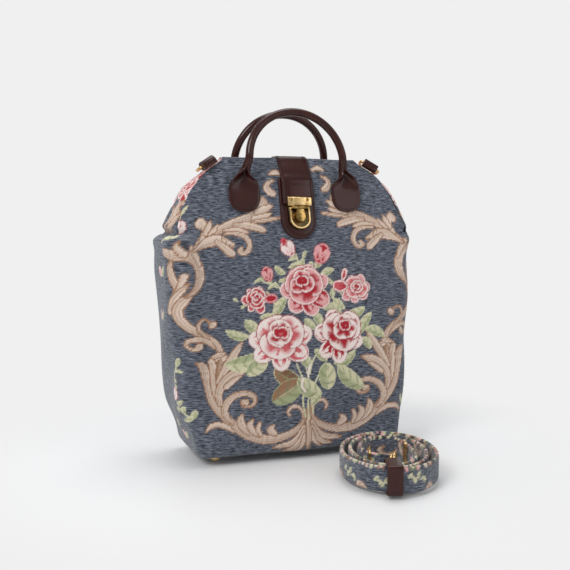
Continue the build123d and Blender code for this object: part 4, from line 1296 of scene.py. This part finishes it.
# %% [markdown]
# ## The wound shoulder strap
# The strap is a flat tube of the same cloth, 25 mm wide and almost 0.9 m long. It stands on its edge and
# is wound in three loose oval turns, held by a leather keeper, with both snap hooks inside the coil. One
# smooth route gives the turns, and a soft flat section is swept along it. A solid ring would be simpler,
# but the gaps between the turns and the folded top edges are what shows that it is a strap.

# %% The strap's route
coil_centre = np.array([53.0, -139.0])
coil_angle = math.radians(-20.5)
coil_x_way = np.array([math.cos(coil_angle), math.sin(coil_angle)])
coil_y_way = np.array([-math.sin(coil_angle), math.cos(coil_angle)])
route = []
for k in range(44):
    turn = k / 16
    angle = -math.pi / 2 + 0.10 + turn * 2 * math.pi
    at_slider = 6.5 * math.exp(-((turn - 2.27) / 0.10) ** 2)
    across = 52.0 - 9.0 * turn + 0.7 * math.sin(turn * 9.1) - at_slider
    along = 73.5 - 9.0 * turn + 0.7 * math.sin(turn * 7.3)
    flat = coil_centre + across * math.cos(angle) * coil_x_way + along * math.sin(angle) * coil_y_way
    route.append((flat[0], flat[1], 12.9 + 0.3 * math.sin(turn * 5.3)))
inner_end = ((30.4, -127.0), (30.6, -137.0), (32.6, -146.0), (37.0, -155.5), (43.5, -163.5))
route += [(x, y, 12.9) for x, y in inner_end]
route_curve = bpy.data.curves.new("route", "CURVE")
route_curve.dimensions = "3D"
spline = route_curve.splines.new("NURBS")
spline.points.add(len(route) - 1)
for point, place in zip(spline.points, route):
    point.co = (*(np.array(place) * mm), 1)
spline.order_u = 3
spline.use_endpoint_u = True
spline.resolution_u = 6
route_object = bpy.data.objects.new("route", route_curve)
bpy.context.scene.collection.objects.link(route_object)
route_mesh = bpy.data.meshes.new_from_object(route_object)
strap_path = np.array([v.co for v in route_mesh.vertices]) / mm
bpy.data.objects.remove(route_object)
bpy.data.meshes.remove(route_mesh)
strap_steps = np.linalg.norm(np.diff(strap_path, axis=0), axis=1)
strap_run = np.concatenate([[0], np.cumsum(strap_steps)])
print("strap", len(strap_path), "points,", round(strap_run[-1]), "mm long")

# %% The strap's cloth
count = int(strap_run[-1] / 1.6)
at = np.linspace(0, strap_run[-1], count)
centre = np.stack([np.interp(at, strap_run, strap_path[:, k]) for k in range(3)], -1)
way = np.gradient(centre, axis=0)
way[:, 2] = 0
way /= np.linalg.norm(way, axis=1, keepdims=True)
out = np.stack([way[:, 1], -way[:, 0], np.zeros(len(way))], -1)
# around the section: height share and thickness side
section_shape = []
for share in np.linspace(-1, 1, 15):
    section_shape.append((share * 0.94, 1.0 - 0.25 * share ** 6))
section_shape += [(1.0, 0.45), (1.02, 0.0), (1.0, -0.45)]
section_shape += [(share * 0.94, -(1.0 - 0.25 * share ** 6)) for share in np.linspace(1, -1, 15)]
section_shape += [(-1.0, -0.45), (-1.02, 0.0), (-1.0, 0.45)]
section_shape = np.array(section_shape)
puff = 1.95 + 0.22 * np.sin(at / 13)[:, None] + 0.1 * np.sin(at / 5.1)[:, None] * section_shape[None, :, 0]
ripple = 0.25 * np.sin(at / 9)[:, None] * section_shape[None, :, 0] ** 2
rim = 12.3 + 0.2 * np.sin(at / 21)[:, None]
sideways = section_shape[None, :, 1:] * puff[..., None] + ripple[..., None]
ribbon = (centre[:, None, :] + out[:, None, :] * sideways
          + np.array([0, 0, 1.0]) * (section_shape[None, :, :1] * rim[..., None]))
around = len(section_shape)
girth = np.concatenate([
    np.linspace(-12.5, 12.5, 15), [13.3, 14.0, 14.7], np.linspace(15.5, 40.5, 15), [41.3, 42, 42.7],
])
strap_u = np.repeat(at, around)
strap_v = np.tile(girth, count)
strap_cloth = start_cloth(strap_u, strap_v)
chance = np.random.default_rng(7)
for place in np.arange(14, strap_run[-1], 34):
    x, y = place + chance.uniform(-8, 8), chance.uniform(20, 34)
    if chance.integers(0, 2):
        rose(strap_cloth, (x, y), 9, chance.uniform(0, 90), 0.9, rose_red, rose_mid, rose_pink, petals=5)
    else:
        scroll(strap_cloth, [(x - 14, y - 6, 1.2), (x - 6, y + 2, 3.4), (x + 3, y + 4, 3.8),
                             (x + 9, y - 3, 3.0), (x + 4, y - 7, 1.6)])
for place in np.arange(22, strap_run[-1], 47):
    x, y = place + chance.uniform(-9, 9), chance.uniform(-5, 4)
    stem(strap_cloth, [(x - 9, y + 2), (x, y), (x + 9, y - 3)], 0.7, pale_sage)
    for step, lift in ((-8, 5), (-3, -5), (2, 5), (9, -6)):
        leaf(strap_cloth, (x + step, y), (x + step + 4, y + lift), 1.9)
    scroll(strap_cloth, [(x + 14, -15, 1.4), (x + 18, -9, 3.0), (x + 24, -11, 2.6), (x + 27, -15, 1.4)], (0.0,))
edge_yarns = (cream, tan, pale_cream, pale_sage, slate * 0.35, rose_pink, slate, moss, slate * 0.35)
for place in np.arange(1.5, strap_run[-1], 2.4):
    tone = edge_yarns[chance.integers(0, len(edge_yarns))]
    near = np.where((np.abs(strap_u - place) < 1.5) & (np.abs(strap_v - 14) < chance.uniform(2.2, 4.4)))[0]
    lay(strap_cloth, near, np.full(len(near), 0.9), tone)
strap_faces = capped_faces(count, around)
wound_strap = new_piece("wound_strap", ribbon.reshape(-1, 3), strap_faces, tapestry)
dress_mesh(wound_strap, strap_cloth)
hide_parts("strap_coil")
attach(wound_strap, "bag")
print("wound strap", len(strap_faces), "faces")

# %% Soft edges on the leather and brass solids
def soften(name, width, segments=2):
    """A small rounded edge on a solid, which keeps its place and size."""
    node = frame["nodes"][name]
    weld = node.modifiers.new("weld", "WELD")
    weld.merge_threshold = 0.00002
    bevel = node.modifiers.new("soft_edge", "BEVEL")
    bevel.width = width * mm
    bevel.segments = segments
    bevel.limit_method = "ANGLE"
    bevel.angle_limit = math.radians(35)
    bevel.harden_normals = False
    node.data.polygons.foreach_set("use_smooth", np.ones(len(node.data.polygons), bool))
    smooth = node.modifiers.new("smooth_by_angle", "EDGE_SPLIT")
    smooth.split_angle = math.radians(50)
    smooth.use_edge_sharp = False


leather_solids = ("left_ring_loop", "right_ring_loop", "strap_keeper")
brass_solids = ("hasp_plate", "lock_receiver", "thumb_slide")
for name in leather_solids:
    soften(name, 1.1, 3)
for name in brass_solids:
    soften(name, 0.25)
print("softened", len(leather_solids + brass_solids), "solids")
